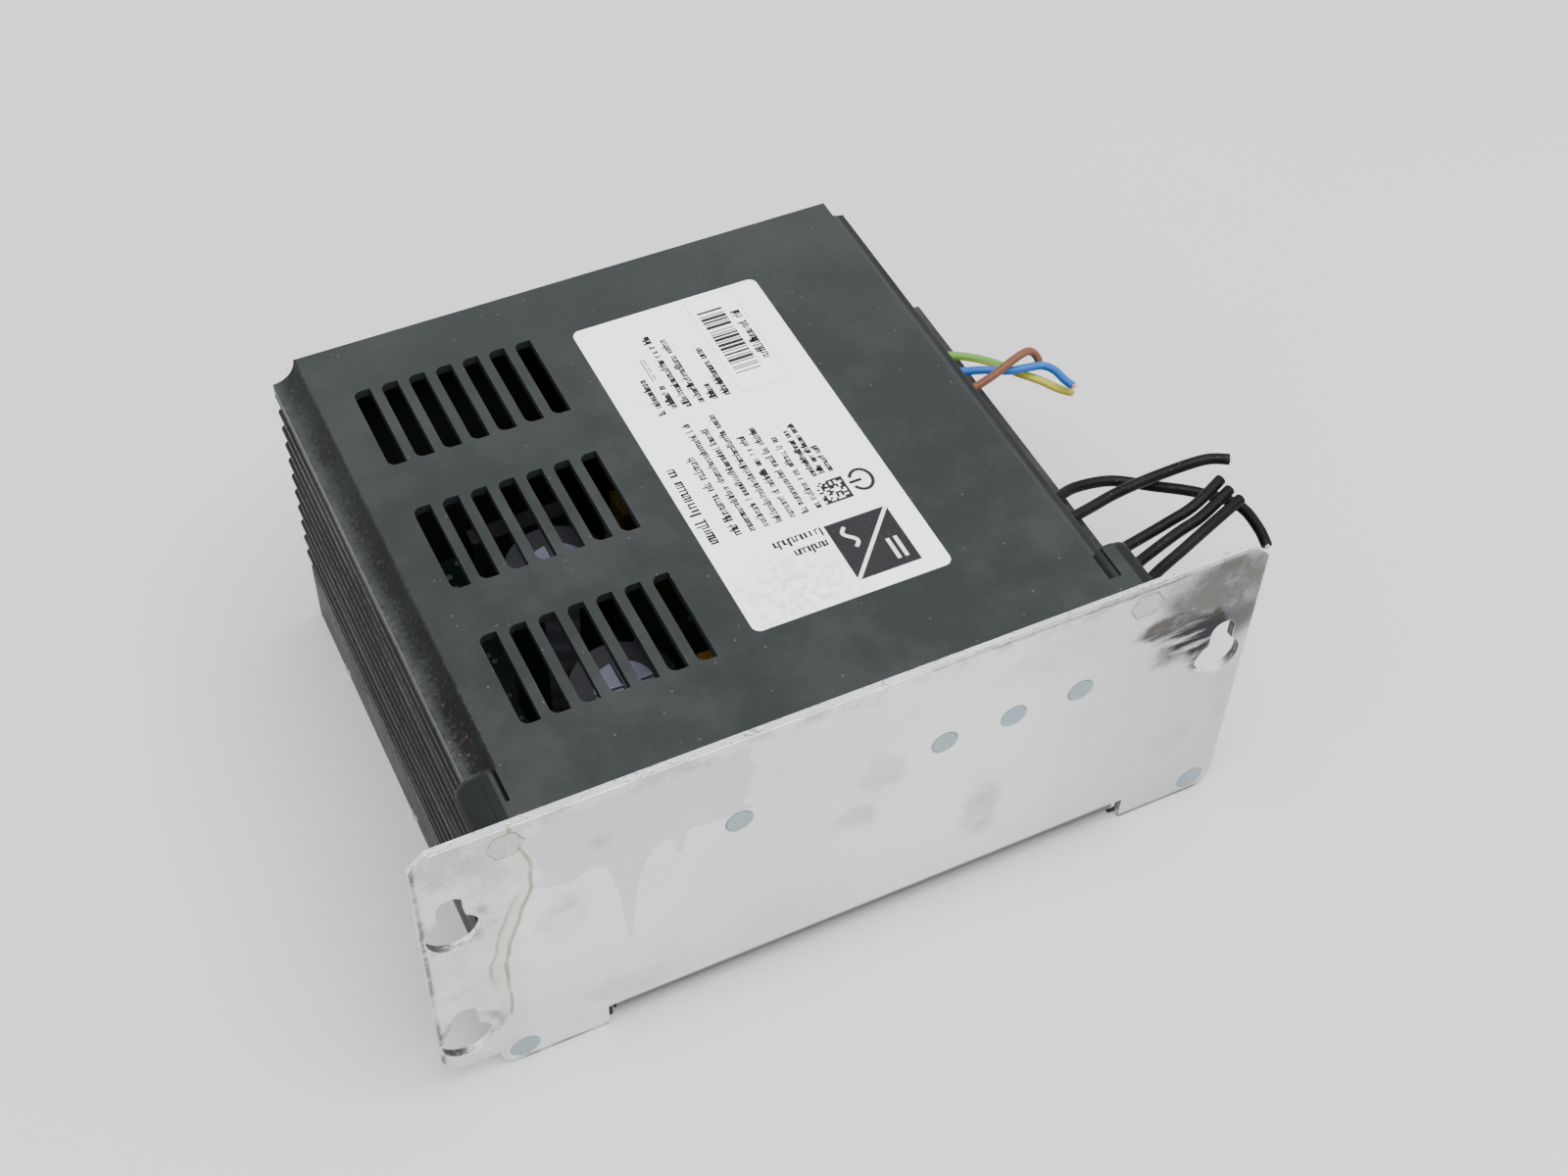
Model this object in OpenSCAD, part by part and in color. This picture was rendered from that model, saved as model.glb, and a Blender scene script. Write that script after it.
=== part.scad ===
// Enclosed industrial power supply on a keyhole mounting plate.
// +Z is up as it lies on a bench, the mounting plate faces -Y, the ribbed heatsink faces -X and
// the wires leave on the +X side. The origin is at the middle of the underside, without the wires.

/* [Mounting plate] */
// Width of the plate
plate_w = 200; // [166:1:240]
// Height of the plate, which is also the height of the housing
plate_h = 88.5; // [73:0.5:107]
// Thickness of the sheet
plate_t = 2; // [1.5:0.5:3]
// Length of the folded tongue that lies inside the housing
tongue_len = 22; // [14:1:26]
// Outside radius of the fold
fold_r = 4.4; // [3.4:0.2:5]
// Radius of a keyhole's round part
keyhole_r = 6; // [5:0.5:7]
// Half the width of a keyhole's slot
slot_r = 3.05; // [2.25:0.05:3.6]
// Height from the round part's centre to the slot's upper centre
keyhole_rise = 9.25; // [8:0.25:11]
// Size of the two chamfers at the top corners
corner_cut = 4; // [2:0.5:6]

/* [Housing] */
// Length of the housing behind the plate
housing_d = 142; // [118:1:171]
// Distance from the plate's left edge to the heatsink
left_margin = 18; // [15:1:24]
// Distance from the plate's right edge to the tray
right_margin = 7.5; // [5:0.5:12]
// Width of the step on the wire side
tray_w = 25; // [24:0.5:30]
// Height of the step on the wire side
tray_h = 42.5; // [35:0.5:52]
// Wall thickness of the mouldings
wall = 2.2; // [1.8:0.1:3]
// Thickness of the hood's front wall, where the plate is screwed on
front_wall = 4; // [3:0.5:5]
// Radius of the hollow moulding along both top edges
cove_r = 5.7; // [4:0.1:6.4]
// Length of the two fixing bosses behind the plate
boss_len = 13; // [11:0.5:16]
// Radius of the two fixing bosses
boss_r = 5; // [4.4:0.1:6]

/* [Vents] */
// Vent slots in a group
vent_count = 7; // [3:1:8]
// Groups of vent slots
vent_groups = 3; // [1:1:3]
// Distance between slots
vent_pitch = 6.57; // [6:0.1:7]
// Distance between groups
group_pitch = 40; // [34:1:46]
// Width of a slot
vent_w = 4.2; // [3:0.1:4.6]
// Length of a slot
vent_len = 25.6; // [20:0.2:30]

/* [Heatsink] */
// Thickness of its back wall
sink_back = 3; // [2.4:0.2:4]
// Depth of its ribs
rib_d = 2.4; // [1.6:0.2:3]
// Distance between ribs
rib_pitch = 5.5; // [4.5:0.1:7]
// Thickness of a rib
rib_t = 2.6; // [1.8:0.1:3.2]

/* [Terminals] */
// Distance between two poles
pole_pitch = 7.5; // [7.5:0.5:9]
// Depth of a terminal block
block_d = 9.4; // [9.4:0.2:12]
// Height of a terminal block above its board
block_h = 18.4; // [17.4:0.2:20]
// Radius of a clamp screw's thread
clamp_r = 1.5; // [1.25:0.05:1.6]
// How far a clamp cage drops when its screw is opened
clamp_travel = 2; // [1:0.5:2]

/* [Label] */
// Width of the rating label
label_w = 47.7; // [30:0.1:60]
// Length of the rating label
label_l = 101.3; // [60:0.1:110]

/* [Wires] */
// Diameter of the three mains wires
mains_d = 2.2; // [1.8:0.1:3]
// Diameter of the five output wires
output_d = 2.9; // [2.2:0.1:3.2]

/* [Hidden] */
poles = ["green_yellow", "blue", "brown", "black_1", "black_2", "black_3", "black_4", "black_5"];
$fn = 48;

// Side, front and far faces of the whole
xl = -plate_w / 2 + left_margin;
xr = plate_w / 2 - right_margin;
xh = xr - tray_w;
y_plate = -(plate_t + housing_d) / 2;
y0 = y_plate + plate_t;
y1 = y0 + housing_d;
fit_gap = 0.05;
seat_gap = 0.2;

// Plate details, measured from the plate's left and right edges and from its lower edge
plate_left = -plate_w / 2;
plate_right = plate_w / 2;
keyholes = [[plate_left + 7, 59.3], [plate_left + 6.5, 17.1], [plate_right - 7.7, 53.2]];
notch_left = plate_left + 39.2;
notch_right = plate_right - 27.6;
notch_w = 1.8;
notch_top = 7.3;
foot_x = plate_left + 13.3;
foot_step = 6.4;
foot_r = 5.6;
hexes = [[plate_left + 19.8, plate_h - 5.7], [plate_right - 31.4, plate_h - 5.7]];
boss_shift = [0.2, -1];
hex_af = 7;
corner_points = [[plate_left + 19, 4.9], [plate_right - 6, 4.9]];
stud_x = [plate_left + 71.1, plate_left + 120.5, plate_left + 137.8, plate_left + 154.9];
stud_z = plate_h - 28;
stud_head_r = 3;
screw_r = 1.5;
screw_head_r = 2.75;
screw_head_h = 2;

// Heatsink and base
sink_in = xl + rib_d + sink_back;
lip_z = plate_h - cove_r - wall;
sink_top = lip_z - seat_gap;
sink_foot = 13;
floor_t = 2.4;
rail_x = xl + 0.5;
body_x = sink_in + seat_gap;
lug_r = 4.6;
lug_len = 10;

// Boards
board_t = 1.6;
board_z = 9.4;
board_top = board_z + board_t;
board_x0 = sink_in + 0.8;
board_x1 = xh + 12.7;
post_x = [sink_in + 14.6, xh + 4.7];
post_y = [y0 + 28, y1 - 14];
post_r = 3.5;
link_z = tray_h - wall - board_t - 0.7;
link_top = link_z + board_t;
link_x0 = xh + 0.4;
link_x1 = xr - wall - 0.3;
link_posts = [y0 + 6, 4, y1 - 6];
link_post_x = xr - 6;

// Terminals: each pole has a row place y, and its screw stands at pole_x
pole_x = xh + 5;
block_x0 = pole_x - block_d / 2;
mains_y = [for (i = [0:2]) y1 - 22 - i * pole_pitch];
out_a_y = [for (i = [0:1]) y0 + 61 - i * pole_pitch];
out_b_y = [for (i = [0:2]) y0 + 38.5 - i * pole_pitch];
pole_y = concat(mains_y, out_a_y, out_b_y);
block_top = link_top + block_h;
shaft_z = block_top - 3.9;
cavity_z = link_top + 3;
cavity_top = cavity_z + 10.8;
wire_z = link_top + 7.4;
tongue_z = wire_z + 0.8;
tongue_t = 0.8;
cage_bottom = wire_z - 1.8;
cage_h = 7;
core_r = 0.75;

// Parts fixed to the heatsink, the label and the trimmer
device_x = sink_in + 0.2;
device_z = 20;
device_y = [-30, 0, 30];
sink_screw_x = rail_x + 2.3;
sink_screw_y = [y0 + 22, 0, y1 - 22];
vent_x = xl + 14.6;
vent_y = y0 + 20.1;
label_x = vent_x + (vent_count - 1) * vent_pitch + vent_w + 9.6;
label_y = y0 + 22.3;
trimmer_y = out_b_y[2] - pole_pitch / 2 - 6.5;

// Places of the board's parts, from the heatsink, the hood's wire side, the front and the far end
can_x = sink_in + 40.6;
can_y = [y1 - 60, y0 + 43];
can_r = 12.5;
can_h = 48;
bridge_x = sink_in + 31.6;
tx = (sink_in + xh) / 2 + 10.5;
ty = y0 + 44;
core_w = 44;
core_t = 20;
core_h = 34;
leg = 14;
yoke = 6;
coil_place = [xh - 15.5, y0 + 55.6];
small_cans = [for (x = [xh - 25.5, xh - 11.5], y = [y0 + 18, y0 + 33]) [x, y - (x > xh - 20 ? 1.5 : 0)]];
choke_place = [xh - 25.5, y1 - 31.5];
box_x = xh - 73.5;
fuse_place = [xh - 23.5, y1 - 12.5];
chip_x = tx + 8;

// Wire routes, from inside the terminal to the cut end
route_green_yellow = [[76, 50, 47], [81, 50, 47], [87, 49, 46], [93, 47, 45], [99, 43, 44],
    [103, 37, 44], [107, 32, 44], [110, 27, 44], [113, 24, 44]];
route_blue = [[76, 42.5, 47], [81, 42.5, 47], [87, 41, 47], [93, 38, 48], [99, 35, 48],
    [104, 34, 48], [108, 33, 48], [110, 30, 48], [110.5, 26, 48], [111.5, 22.5, 48]];
route_brown = [[76, 35, 47], [81, 35, 47], [87, 34, 47], [93, 34, 49], [99, 35, 51],
    [103, 36, 51.5], [106, 37, 50.5], [108, 36.5, 48.5], [108.5, 35, 46.5]];
route_black_1 = [[76, -9, 47], [82, -9, 47], [88, -8, 46], [95, -6, 45], [105, -7, 44],
    [114, -12, 43], [124, -18, 42], [131, -26, 42], [132, -34, 41], [131, -40, 40]];
route_black_2 = [[76, -16.5, 47], [82, -16.5, 47], [88, -16, 47], [94, -15, 47], [101, -14, 47.5],
    [110, -13.5, 48], [121, -14, 49], [128, -15, 49.5], [133, -18, 50]];
route_black_3 = [[76, -31.5, 47], [82, -31.5, 47], [88, -31, 47], [97, -29.5, 47], [108, -28, 48],
    [116, -27, 49.5], [126.5, -23, 51]];
route_black_4 = [[76, -39, 47], [82, -39, 47], [88, -38, 47], [96.5, -35, 47], [108, -32, 48],
    [116, -30.5, 49], [127, -26.5, 50.5]];
route_black_5 = [[76, -46.5, 47], [82, -46.5, 47], [88, -45, 47], [96.5, -40.5, 47], [107, -37, 48],
    [116, -34, 49], [128, -30, 50]];

// ---- shared shapes ----

// An outline drawn in x and z, given a length along +Y from a starting place
module along_y(start, len) {
    translate([0, start + len, 0]) rotate([90, 0, 0]) linear_extrude(len) children();
}

// A round bar along +Y
module bar_y(x, y, z, r, len) {
    translate([x, y, z]) rotate([-90, 0, 0]) cylinder(r = r, h = len);
}

// A hexagonal bar along +Y, with flats at the given distance
module hex_y(x, y, z, flats, len) {
    translate([x, y, z]) rotate([-90, 0, 0]) cylinder(d = flats / cos(30), h = len, $fn = 6);
}

// A round-cornered rectangle, from its lower left corner
module soft_square(w, h, r) {
    translate([r, 0]) square([w - 2 * r, h]);
    translate([0, r]) square([w, h - 2 * r]);
    for (x = [r, w - r], y = [r, h - r]) translate([x, y]) circle(r);
}

// An upright pan-head screw, from the seat of its head down
module screw_down(x, y, z, len) {
    translate([x, y, z]) cylinder(r = screw_head_r, h = screw_head_h);
    translate([x, y, z - len]) cylinder(r = screw_r - fit_gap, h = len + 0.5);
}

// A tube swept along a route: eight points a ring, square to the route
function unit(v) = v / norm(v);
function heading(r, i) = unit(r[min(i + 1, len(r) - 1)] - r[max(i - 1, 0)]);
function side(t) = unit(cross(t, [0, 0, 1]));
function ring(r, i, rad) = let (t = heading(r, i), s = side(t), u = cross(s, t))
    [for (k = [0:7]) r[i] + rad * (cos(45 * k) * s + sin(45 * k) * u)];
module tube(route, d) {
    n = len(route);
    points = [for (i = [0:n - 1]) each ring(route, i, d / 2)];
    walls = [for (i = [0:n - 2], k = [0:7]) each let (a = 8 * i + k, b = 8 * i + (k + 1) % 8)
        [[a, b, b + 8], [a, b + 8, a + 8]]];
    caps = [[for (k = [7:-1:0]) k], [for (k = [0:7]) 8 * (n - 1) + k]];
    polyhedron(points, concat(walls, caps));
}

// ---- sheet metal and its fixings ----

module keyhole(p) {
    translate(p) circle(keyhole_r);
    translate(p - [slot_r, 0]) square([2 * slot_r, keyhole_rise]);
    translate(p + [0, keyhole_rise]) circle(slot_r);
}

// The plate's outline: chamfered top corners, a raised left end and rounded feet
module plate_outline() {
    difference() {
        union() {
            polygon([[plate_left, foot_step + 4.9], [plate_left + 4.7, foot_step],
                [plate_right, foot_step], [plate_right, plate_h - corner_cut],
                [plate_right - corner_cut, plate_h], [plate_left + corner_cut, plate_h],
                [plate_left, plate_h - corner_cut]]);
            translate([foot_x, 0]) soft_square(plate_right - foot_x, 4 * foot_r, foot_r);
        }
        for (p = keyholes) keyhole(p);
        for (x = [notch_left, notch_right]) translate([x, -1]) square([notch_w, notch_top + 1]);
        translate([notch_left + 1, -1])
            square([notch_right - notch_left, floor_t + fold_r + 1]);
        for (h = hexes) translate(h) circle(d = (hex_af + 2 * fit_gap) / cos(30), $fn = 6);
        for (x = stud_x) translate([x, stud_z]) circle(stud_head_r + fit_gap);
        for (c = corner_points) translate(c) circle(stud_head_r + 0.5 + fit_gap);
    }
}

module mounting_plate() {
    tongue_w = notch_right - notch_left - notch_w;
    color([0.74, 0.75, 0.75]) {
        along_y(y_plate, plate_t) plate_outline();
        translate([notch_left + notch_w, 0, 0]) {
            translate([0, y_plate + fold_r, floor_t]) cube([tongue_w, tongue_len - fold_r, plate_t]);
            translate([0, y_plate + fold_r, floor_t + fold_r])
                rotate([90, 0, 90]) linear_extrude(tongue_w) intersection() {
                    difference() {
                        circle(fold_r);
                        circle(fold_r - plate_t);
                    }
                    translate([-fold_r, -fold_r]) square(fold_r);
                }
        }
    }
}

module plate_studs() {
    color([0.66, 0.72, 0.74]) for (x = stud_x) {
        bar_y(x, y_plate, stud_z, stud_head_r, plate_t);
        bar_y(x, y0 - 0.1, stud_z, screw_r, front_wall + 5);
    }
}

module stud_nuts() {
    color("silver") for (x = stud_x) difference() {
        hex_y(x, y0 + front_wall, stud_z, 5.5, 2.4);
        bar_y(x, y0 + front_wall - 1, stud_z, screw_r + fit_gap, 5);
    }
}

module hex_standoffs() {
    color([0.66, 0.72, 0.74]) for (h = hexes) difference() {
        union() {
            hex_y(h[0], y_plate, h[1], hex_af, plate_t);
            bar_y(h[0], y0 - 0.1, h[1], 2.5, 8.1);
        }
        bar_y(h[0], y0 + 1, h[1], screw_r, 8);
    }
}

module hood_screws() {
    color("dimgray") for (h = hexes) {
        bar_y(h[0], y0 + 2, h[1], screw_r - fit_gap, boss_len - 4);
        bar_y(h[0], y0 + boss_len - 2.5, h[1], screw_head_r, screw_head_h);
    }
}

module corner_studs() {
    color([0.66, 0.72, 0.74]) for (c = corner_points) {
        bar_y(c[0], y_plate, c[1], stud_head_r + 0.5, plate_t);
        bar_y(c[0], y0 - 0.1, c[1], screw_r, lug_len - 2);
    }
}

// ---- mouldings ----

// The hood's section: flat on top, with a hollow moulding along each top edge
module hood_outline() {
    difference() {
        translate([xl, tray_h]) square([xh - xl, plate_h - tray_h]);
        for (x = [xl, xh]) translate([x, plate_h]) circle(cove_r);
    }
}

module hood_cavity() {
    difference() {
        translate([xl - 1, tray_h - 1]) square([xh - wall - xl + 1, plate_h - wall - tray_h + 1]);
        for (x = [xl, xh]) translate([x, plate_h]) circle(cove_r + wall);
    }
}

module boss_outline(i) {
    c = hexes[i] + [boss_shift[i], 0.5];
    inner = i == 0 ? 0 : -2.7;
    translate(c) circle(boss_r);
    translate([c[0] + inner, c[1]]) square([2.7, plate_h - c[1]]);
}

module vent() {
    r = 1.9;
    translate([r, 0]) square([vent_w - r, vent_len]);
    translate([0, r]) square([r, vent_len - 2 * r]);
    for (y = [r, vent_len - r]) translate([r, y]) circle(r);
}

module vents() {
    for (g = [0:vent_groups - 1], i = [0:vent_count - 1])
        translate([vent_x + i * vent_pitch, vent_y + g * group_pitch]) vent();
}

module hood() {
    color([0.29, 0.32, 0.33]) difference() {
        union() {
            difference() {
                along_y(y0, housing_d) hood_outline();
                along_y(y0 + front_wall, housing_d - front_wall - wall) hood_cavity();
                translate([xl - 1, y0 - 1, tray_h - 1])
                    cube([body_x - xl + 1, housing_d + 2, lip_z - tray_h + 1]);
            }
            along_y(y0, front_wall) translate([hexes[0][0], lip_z + 0.1])
                square([hexes[1][0] - hexes[0][0] - 1, plate_h - lip_z - 0.1]);
            for (i = [0, 1]) along_y(y0, boss_len) boss_outline(i);
        }
        translate([0, 0, plate_h - wall - 1]) linear_extrude(wall + 2) vents();
        for (h = hexes) {
            bar_y(h[0], y0 - 1, h[1], 2.5 + fit_gap, 9.1);
            bar_y(h[0], y0 - 1, h[1], screw_r + 0.2, boss_len);
            bar_y(h[0], y0 + boss_len - 2.5, h[1], screw_head_r + 0.3, 4);
        }
        for (x = stud_x) bar_y(x, y0 - 1, stud_z, screw_r + 0.2, front_wall + 2);
    }
}

// Window in the step for a terminal block that holds the given poles
module block_window(ys) {
    translate([block_x0 - seat_gap, min(ys) - pole_pitch / 2 - seat_gap, tray_h - wall - 1])
        cube([block_d + 2 * seat_gap, max(ys) - min(ys) + pole_pitch + 2 * seat_gap, wall + 2]);
}

module base_shell() {
    color([0.22, 0.24, 0.25]) difference() {
        union() {
            translate([body_x - 1, y0 + fold_r, 0]) cube([xr - body_x + 1, housing_d - fold_r, floor_t]);
            for (y = [y0, y1 - wall])
                translate([body_x, y, 0]) cube([xr - body_x, wall, tray_h]);
            translate([xr - wall, y0, 0]) cube([wall, housing_d, tray_h]);
            translate([xh - wall, y0, tray_h - wall]) cube([xr - xh + wall, housing_d, wall]);
            translate([rail_x, y0, 0]) cube([body_x - rail_x, housing_d, sink_foot]);
            for (c = corner_points) bar_y(c[0], y0, c[1], lug_r, lug_len);
            for (x = post_x, y = post_y)
                translate([x, y, 0]) cylinder(r = post_r, h = board_z);
            for (y = link_posts) {
                translate([link_post_x, y, 0]) cylinder(r = 3, h = link_z);
                translate([link_post_x, y, 0]) cylinder(r = 1.4, h = link_top);
            }
        }
        translate([notch_left + notch_w - seat_gap, y0 - 1, floor_t])
            cube([notch_right - notch_left - notch_w + 2 * seat_gap, tongue_len + 1.5, plate_t + 0.1]);
        translate([notch_left + notch_w - seat_gap, y0 - 1, -1])
            cube([notch_right - notch_left - notch_w + 2 * seat_gap, wall + 2, floor_t + fold_r + 1.2]);
        for (ys = [mains_y, out_a_y, out_b_y]) block_window(ys);
        translate([pole_x - 3.6, trimmer_y - 3.6, tray_h - wall - 1]) cube([7.2, 7.2, wall + 2]);
        for (c = corner_points) bar_y(c[0], y0 - 1, c[1], screw_r + fit_gap, lug_len - 0.5);
        for (x = post_x, y = post_y)
            translate([x, y, board_z - 6]) cylinder(r = screw_r, h = 7);
        for (y = sink_screw_y) {
            translate([sink_screw_x, y, -1]) cylinder(r = screw_r + 0.2, h = sink_foot + 2);
            translate([sink_screw_x, y, -1]) cylinder(r = screw_head_r + 0.3, h = screw_head_h + 1.5);
        }
    }
}

module rating_label() {
    color([0.93, 0.93, 0.91]) translate([label_x, label_y, plate_h])
        linear_extrude(0.15) soft_square(label_w, label_l, 2);
}

module serial_sticker() {
    color([0.98, 0.98, 0.97]) translate([label_x + label_w - 19.5, label_y + 66.7, plate_h + 0.15])
        linear_extrude(0.1) square([12.5, 33.5]);
}

// ---- heatsink and what is fixed to it ----

module heatsink_outline() {
    ribs = floor((sink_top - sink_foot - 7 - rib_t) / rib_pitch);
    translate([xl + rib_d, sink_foot]) square([sink_back, sink_top - sink_foot]);
    translate([rail_x, sink_foot]) square([sink_in - rail_x, 6]);
    for (i = [0:ribs]) translate([xl, sink_top - rib_t - i * rib_pitch]) {
        translate([rib_t / 2, 0]) square([rib_d, rib_t]);
        translate([rib_t / 2, rib_t / 2]) circle(rib_t / 2);
    }
}

module heatsink() {
    c = hexes[0] + [boss_shift[0], 0.5];
    color([0.17, 0.16, 0.15]) difference() {
        along_y(y0, housing_d) heatsink_outline();
        bar_y(c[0], y0 - 1, c[1], boss_r + seat_gap, boss_len + 1 + seat_gap);
        for (y = sink_screw_y) translate([sink_screw_x, y, sink_foot - 1]) cylinder(r = screw_r, h = 6);
        for (y = device_y) translate([sink_in - 2.6, y, device_z + 16]) rotate([0, 90, 0])
            cylinder(r = screw_r, h = 5);
    }
}

// Screws up through the base rail, and one through each power device
module heatsink_screws() {
    color("silver") for (y = sink_screw_y) {
        translate([sink_screw_x, y, 0.4]) cylinder(r = screw_head_r, h = screw_head_h);
        translate([sink_screw_x, y, 2]) cylinder(r = screw_r - fit_gap, h = sink_foot + 2);
    }
    color("silver") for (y = device_y) translate([device_x + 5, y, device_z + 16]) {
        rotate([0, 90, 0]) cylinder(r = screw_head_r, h = screw_head_h);
        rotate([0, -90, 0]) cylinder(r = screw_r - fit_gap, h = 7.4);
    }
}

module power_devices() {
    color([0.1, 0.1, 0.11]) for (y = device_y) difference() {
        union() {
            translate([device_x, y - 8, device_z]) cube([5, 16, 21]);
            for (i = [-1:1]) translate([device_x + 2, y + 5.4 * i - 0.6, board_top])
                cube([0.6, 1.2, device_z - board_top]);
        }
        translate([device_x - 1, y, device_z + 16]) rotate([0, 90, 0])
            cylinder(r = screw_r + 0.2, h = 8);
    }
}

module device_pads() {
    color([0.75, 0.75, 0.7]) for (y = device_y) difference() {
        translate([sink_in, y - 9, device_z - 1]) cube([0.2, 18, 23]);
        translate([sink_in - 1, y, device_z + 16]) rotate([0, 90, 0])
            cylinder(r = screw_r + 0.2, h = 3);
    }
}

// ---- boards and parts ----

module main_board() {
    color([0.1, 0.3, 0.16]) difference() {
        translate([board_x0, y0 + 8, board_z]) cube([board_x1 - board_x0, housing_d - 14, board_t]);
        for (x = post_x, y = post_y) translate([x, y, board_z - 1]) cylinder(r = screw_r + 0.2, h = 4);
    }
}

module board_screws() {
    color("silver") for (x = post_x, y = post_y) screw_down(x, y, board_top, 7);
}

module connection_board() {
    color([0.1, 0.3, 0.16]) difference() {
        translate([link_x0, y0 + wall + 0.5, link_z])
            cube([link_x1 - link_x0, housing_d - 2 * wall - 1, board_t]);
        for (y = link_posts) translate([link_post_x, y, link_z - 1]) cylinder(r = 1.5, h = 4);
    }
}

// Flat copper bars that carry the current from one board up to the other
module link_bars() {
    color([0.72, 0.45, 0.2]) for (y = [mains_y[0], mains_y[2], out_a_y[0], out_b_y[0]])
        translate([link_x0 + 2, y - 2, board_top]) cube([1.5, 4, link_z - board_top]);
}

module bulk_capacitors() {
    color([0.8, 0.78, 0.86]) for (y = can_y)
        translate([can_x, y, board_top]) cylinder(r = can_r, h = can_h);
}

module bridge_rectifier() {
    color([0.12, 0.12, 0.12]) {
        translate([bridge_x, y1 - 22, board_top + 4]) cube([25, 5, 17]);
        for (i = [0:3]) translate([bridge_x + 3 + 6 * i, y1 - 20, board_top]) cube([1.2, 0.8, 4.5]);
    }
}

module transformer_core() {
    color([0.2, 0.2, 0.21]) translate([tx, ty, board_top]) difference() {
        translate([-core_t / 2, -core_w / 2, 0]) cube([core_t, core_w, core_h]);
        for (s = [-1, 1]) translate([-core_t, s * (leg / 2 + core_w / 2 - yoke) / 2 - 4.5, yoke])
            cube([2 * core_t, 9, core_h - 2 * yoke]);
    }
}

module transformer_coil() {
    color([0.85, 0.68, 0.2]) translate([tx, ty, board_top]) {
        difference() {
            translate([-17, -15.4, yoke + 0.2]) cube([34, 30.8, core_h - 2 * yoke - 0.4]);
            translate([-core_t / 2 - 0.2, -leg / 2 - 0.2, 0]) cube([core_t + 0.4, leg + 0.4, core_h]);
        }
        for (x = [-17, 11]) translate([x, -13, 0]) cube([6, 26, yoke + 0.3]);
    }
}

module output_inductor() {
    color([0.72, 0.4, 0.18]) translate([coil_place[0], coil_place[1], board_top + 6])
        rotate_extrude() translate([10, 0]) circle(6);
}

module output_capacitors() {
    color([0.15, 0.17, 0.35]) for (p = small_cans)
        translate([p[0], p[1], board_top]) cylinder(r = 6.2, h = 25);
}

module choke_core() {
    color([0.25, 0.25, 0.26]) translate([choke_place[0], choke_place[1], board_top + 2.2])
        difference() {
        cylinder(r = 13, h = 10);
        translate([0, 0, -1]) cylinder(r = 7, h = 12);
    }
}

module choke_windings() {
    color([0.7, 0.38, 0.16]) translate([choke_place[0], choke_place[1], board_top])
        difference() {
        cylinder(r = 15, h = 14.4);
        translate([0, 0, -1]) cylinder(r = 5, h = 17);
        translate([0, 0, 2.1]) difference() {
            cylinder(r = 13.1, h = 10.2);
            translate([0, 0, -1]) cylinder(r = 6.9, h = 13);
        }
        translate([-3, -20, -1]) cube([6, 40, 17]);
    }
}

module interference_capacitors() {
    color([0.85, 0.75, 0.3]) for (y = [y1 - 42, y1 - 26])
        translate([box_x, y, board_top]) cube([26, 9, 18]);
}

module fuse() {
    color([0.85, 0.85, 0.8]) translate([fuse_place[0], fuse_place[1], board_top + 4.2])
        rotate([0, 90, 0]) cylinder(r = 2.6, h = 20);
}

module fuse_clips() {
    color([0.75, 0.7, 0.5]) for (x = [1, 14])
        translate([fuse_place[0] + x, fuse_place[1] - 3.3, board_top]) difference() {
        cube([5, 6.6, 6.4]);
        translate([-1, 3.3, 4.2]) rotate([0, 90, 0]) cylinder(r = 2.65, h = 7);
        translate([-1, 1.6, 4.2]) cube([7, 3.4, 4]);
    }
}

module control_chips() {
    color([0.08, 0.08, 0.09]) {
        translate([chip_x - 28, ty + 24, board_top]) cube([10, 6.5, 3.5]);
        for (x = [0, 9]) translate([chip_x + x, ty + 24, board_top]) cube([6.5, 5, 3.5]);
    }
}

// ---- terminals ----

module terminal_block(ys) {
    len = max(ys) - min(ys) + pole_pitch;
    difference() {
        translate([block_x0, min(ys) - pole_pitch / 2, link_top]) cube([block_d, len, block_h]);
        for (y = ys) translate([pole_x, y, 0]) {
            translate([-4, -2.95, cavity_z]) cube([7.1, 5.9, cavity_top - cavity_z]);
            translate([0, 0, cavity_top - 1]) cylinder(r = clamp_r + 0.3, h = block_top - cavity_top);
            translate([0, 0, shaft_z]) cylinder(r = 2.4, h = 10);
            translate([2, 0, wire_z]) rotate([0, 90, 0]) cylinder(r = 1.8, h = block_d);
            translate([-4, -1.8, link_top - 1]) cube([0.9, 3.6, 5]);
        }
    }
}

module mains_terminal_block() {
    color([0.35, 0.4, 0.38]) terminal_block(mains_y);
}

module output_terminal_block_a() {
    color([0.35, 0.4, 0.38]) terminal_block(out_a_y);
}

module output_terminal_block_b() {
    color([0.35, 0.4, 0.38]) terminal_block(out_b_y);
}

// Fixed contact tongues, each with its leg down to the board
module terminal_tongues() {
    color([0.8, 0.8, 0.76]) for (y = pole_y) translate([pole_x, y, 0]) {
        translate([-3.9, -1.7, tongue_z]) cube([6.8, 3.4, tongue_t]);
        translate([-3.9, -1.7, link_top]) cube([0.7, 3.4, tongue_z - link_top + tongue_t]);
    }
}

// A captive slotted screw: it turns in its place and draws the cage up
module clamp_screw(y) {
    color([0.8, 0.8, 0.78]) translate([pole_x, y, 0]) difference() {
        union() {
            translate([0, 0, shaft_z + 0.1]) cylinder(r = 2.1, h = 2);
            translate([0, 0, tongue_z + tongue_t + 0.2])
                cylinder(r = clamp_r, h = shaft_z - tongue_z - tongue_t);
        }
        translate([-0.35, -3, shaft_z + 1.2]) cube([0.7, 6, 2]);
    }
}

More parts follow.
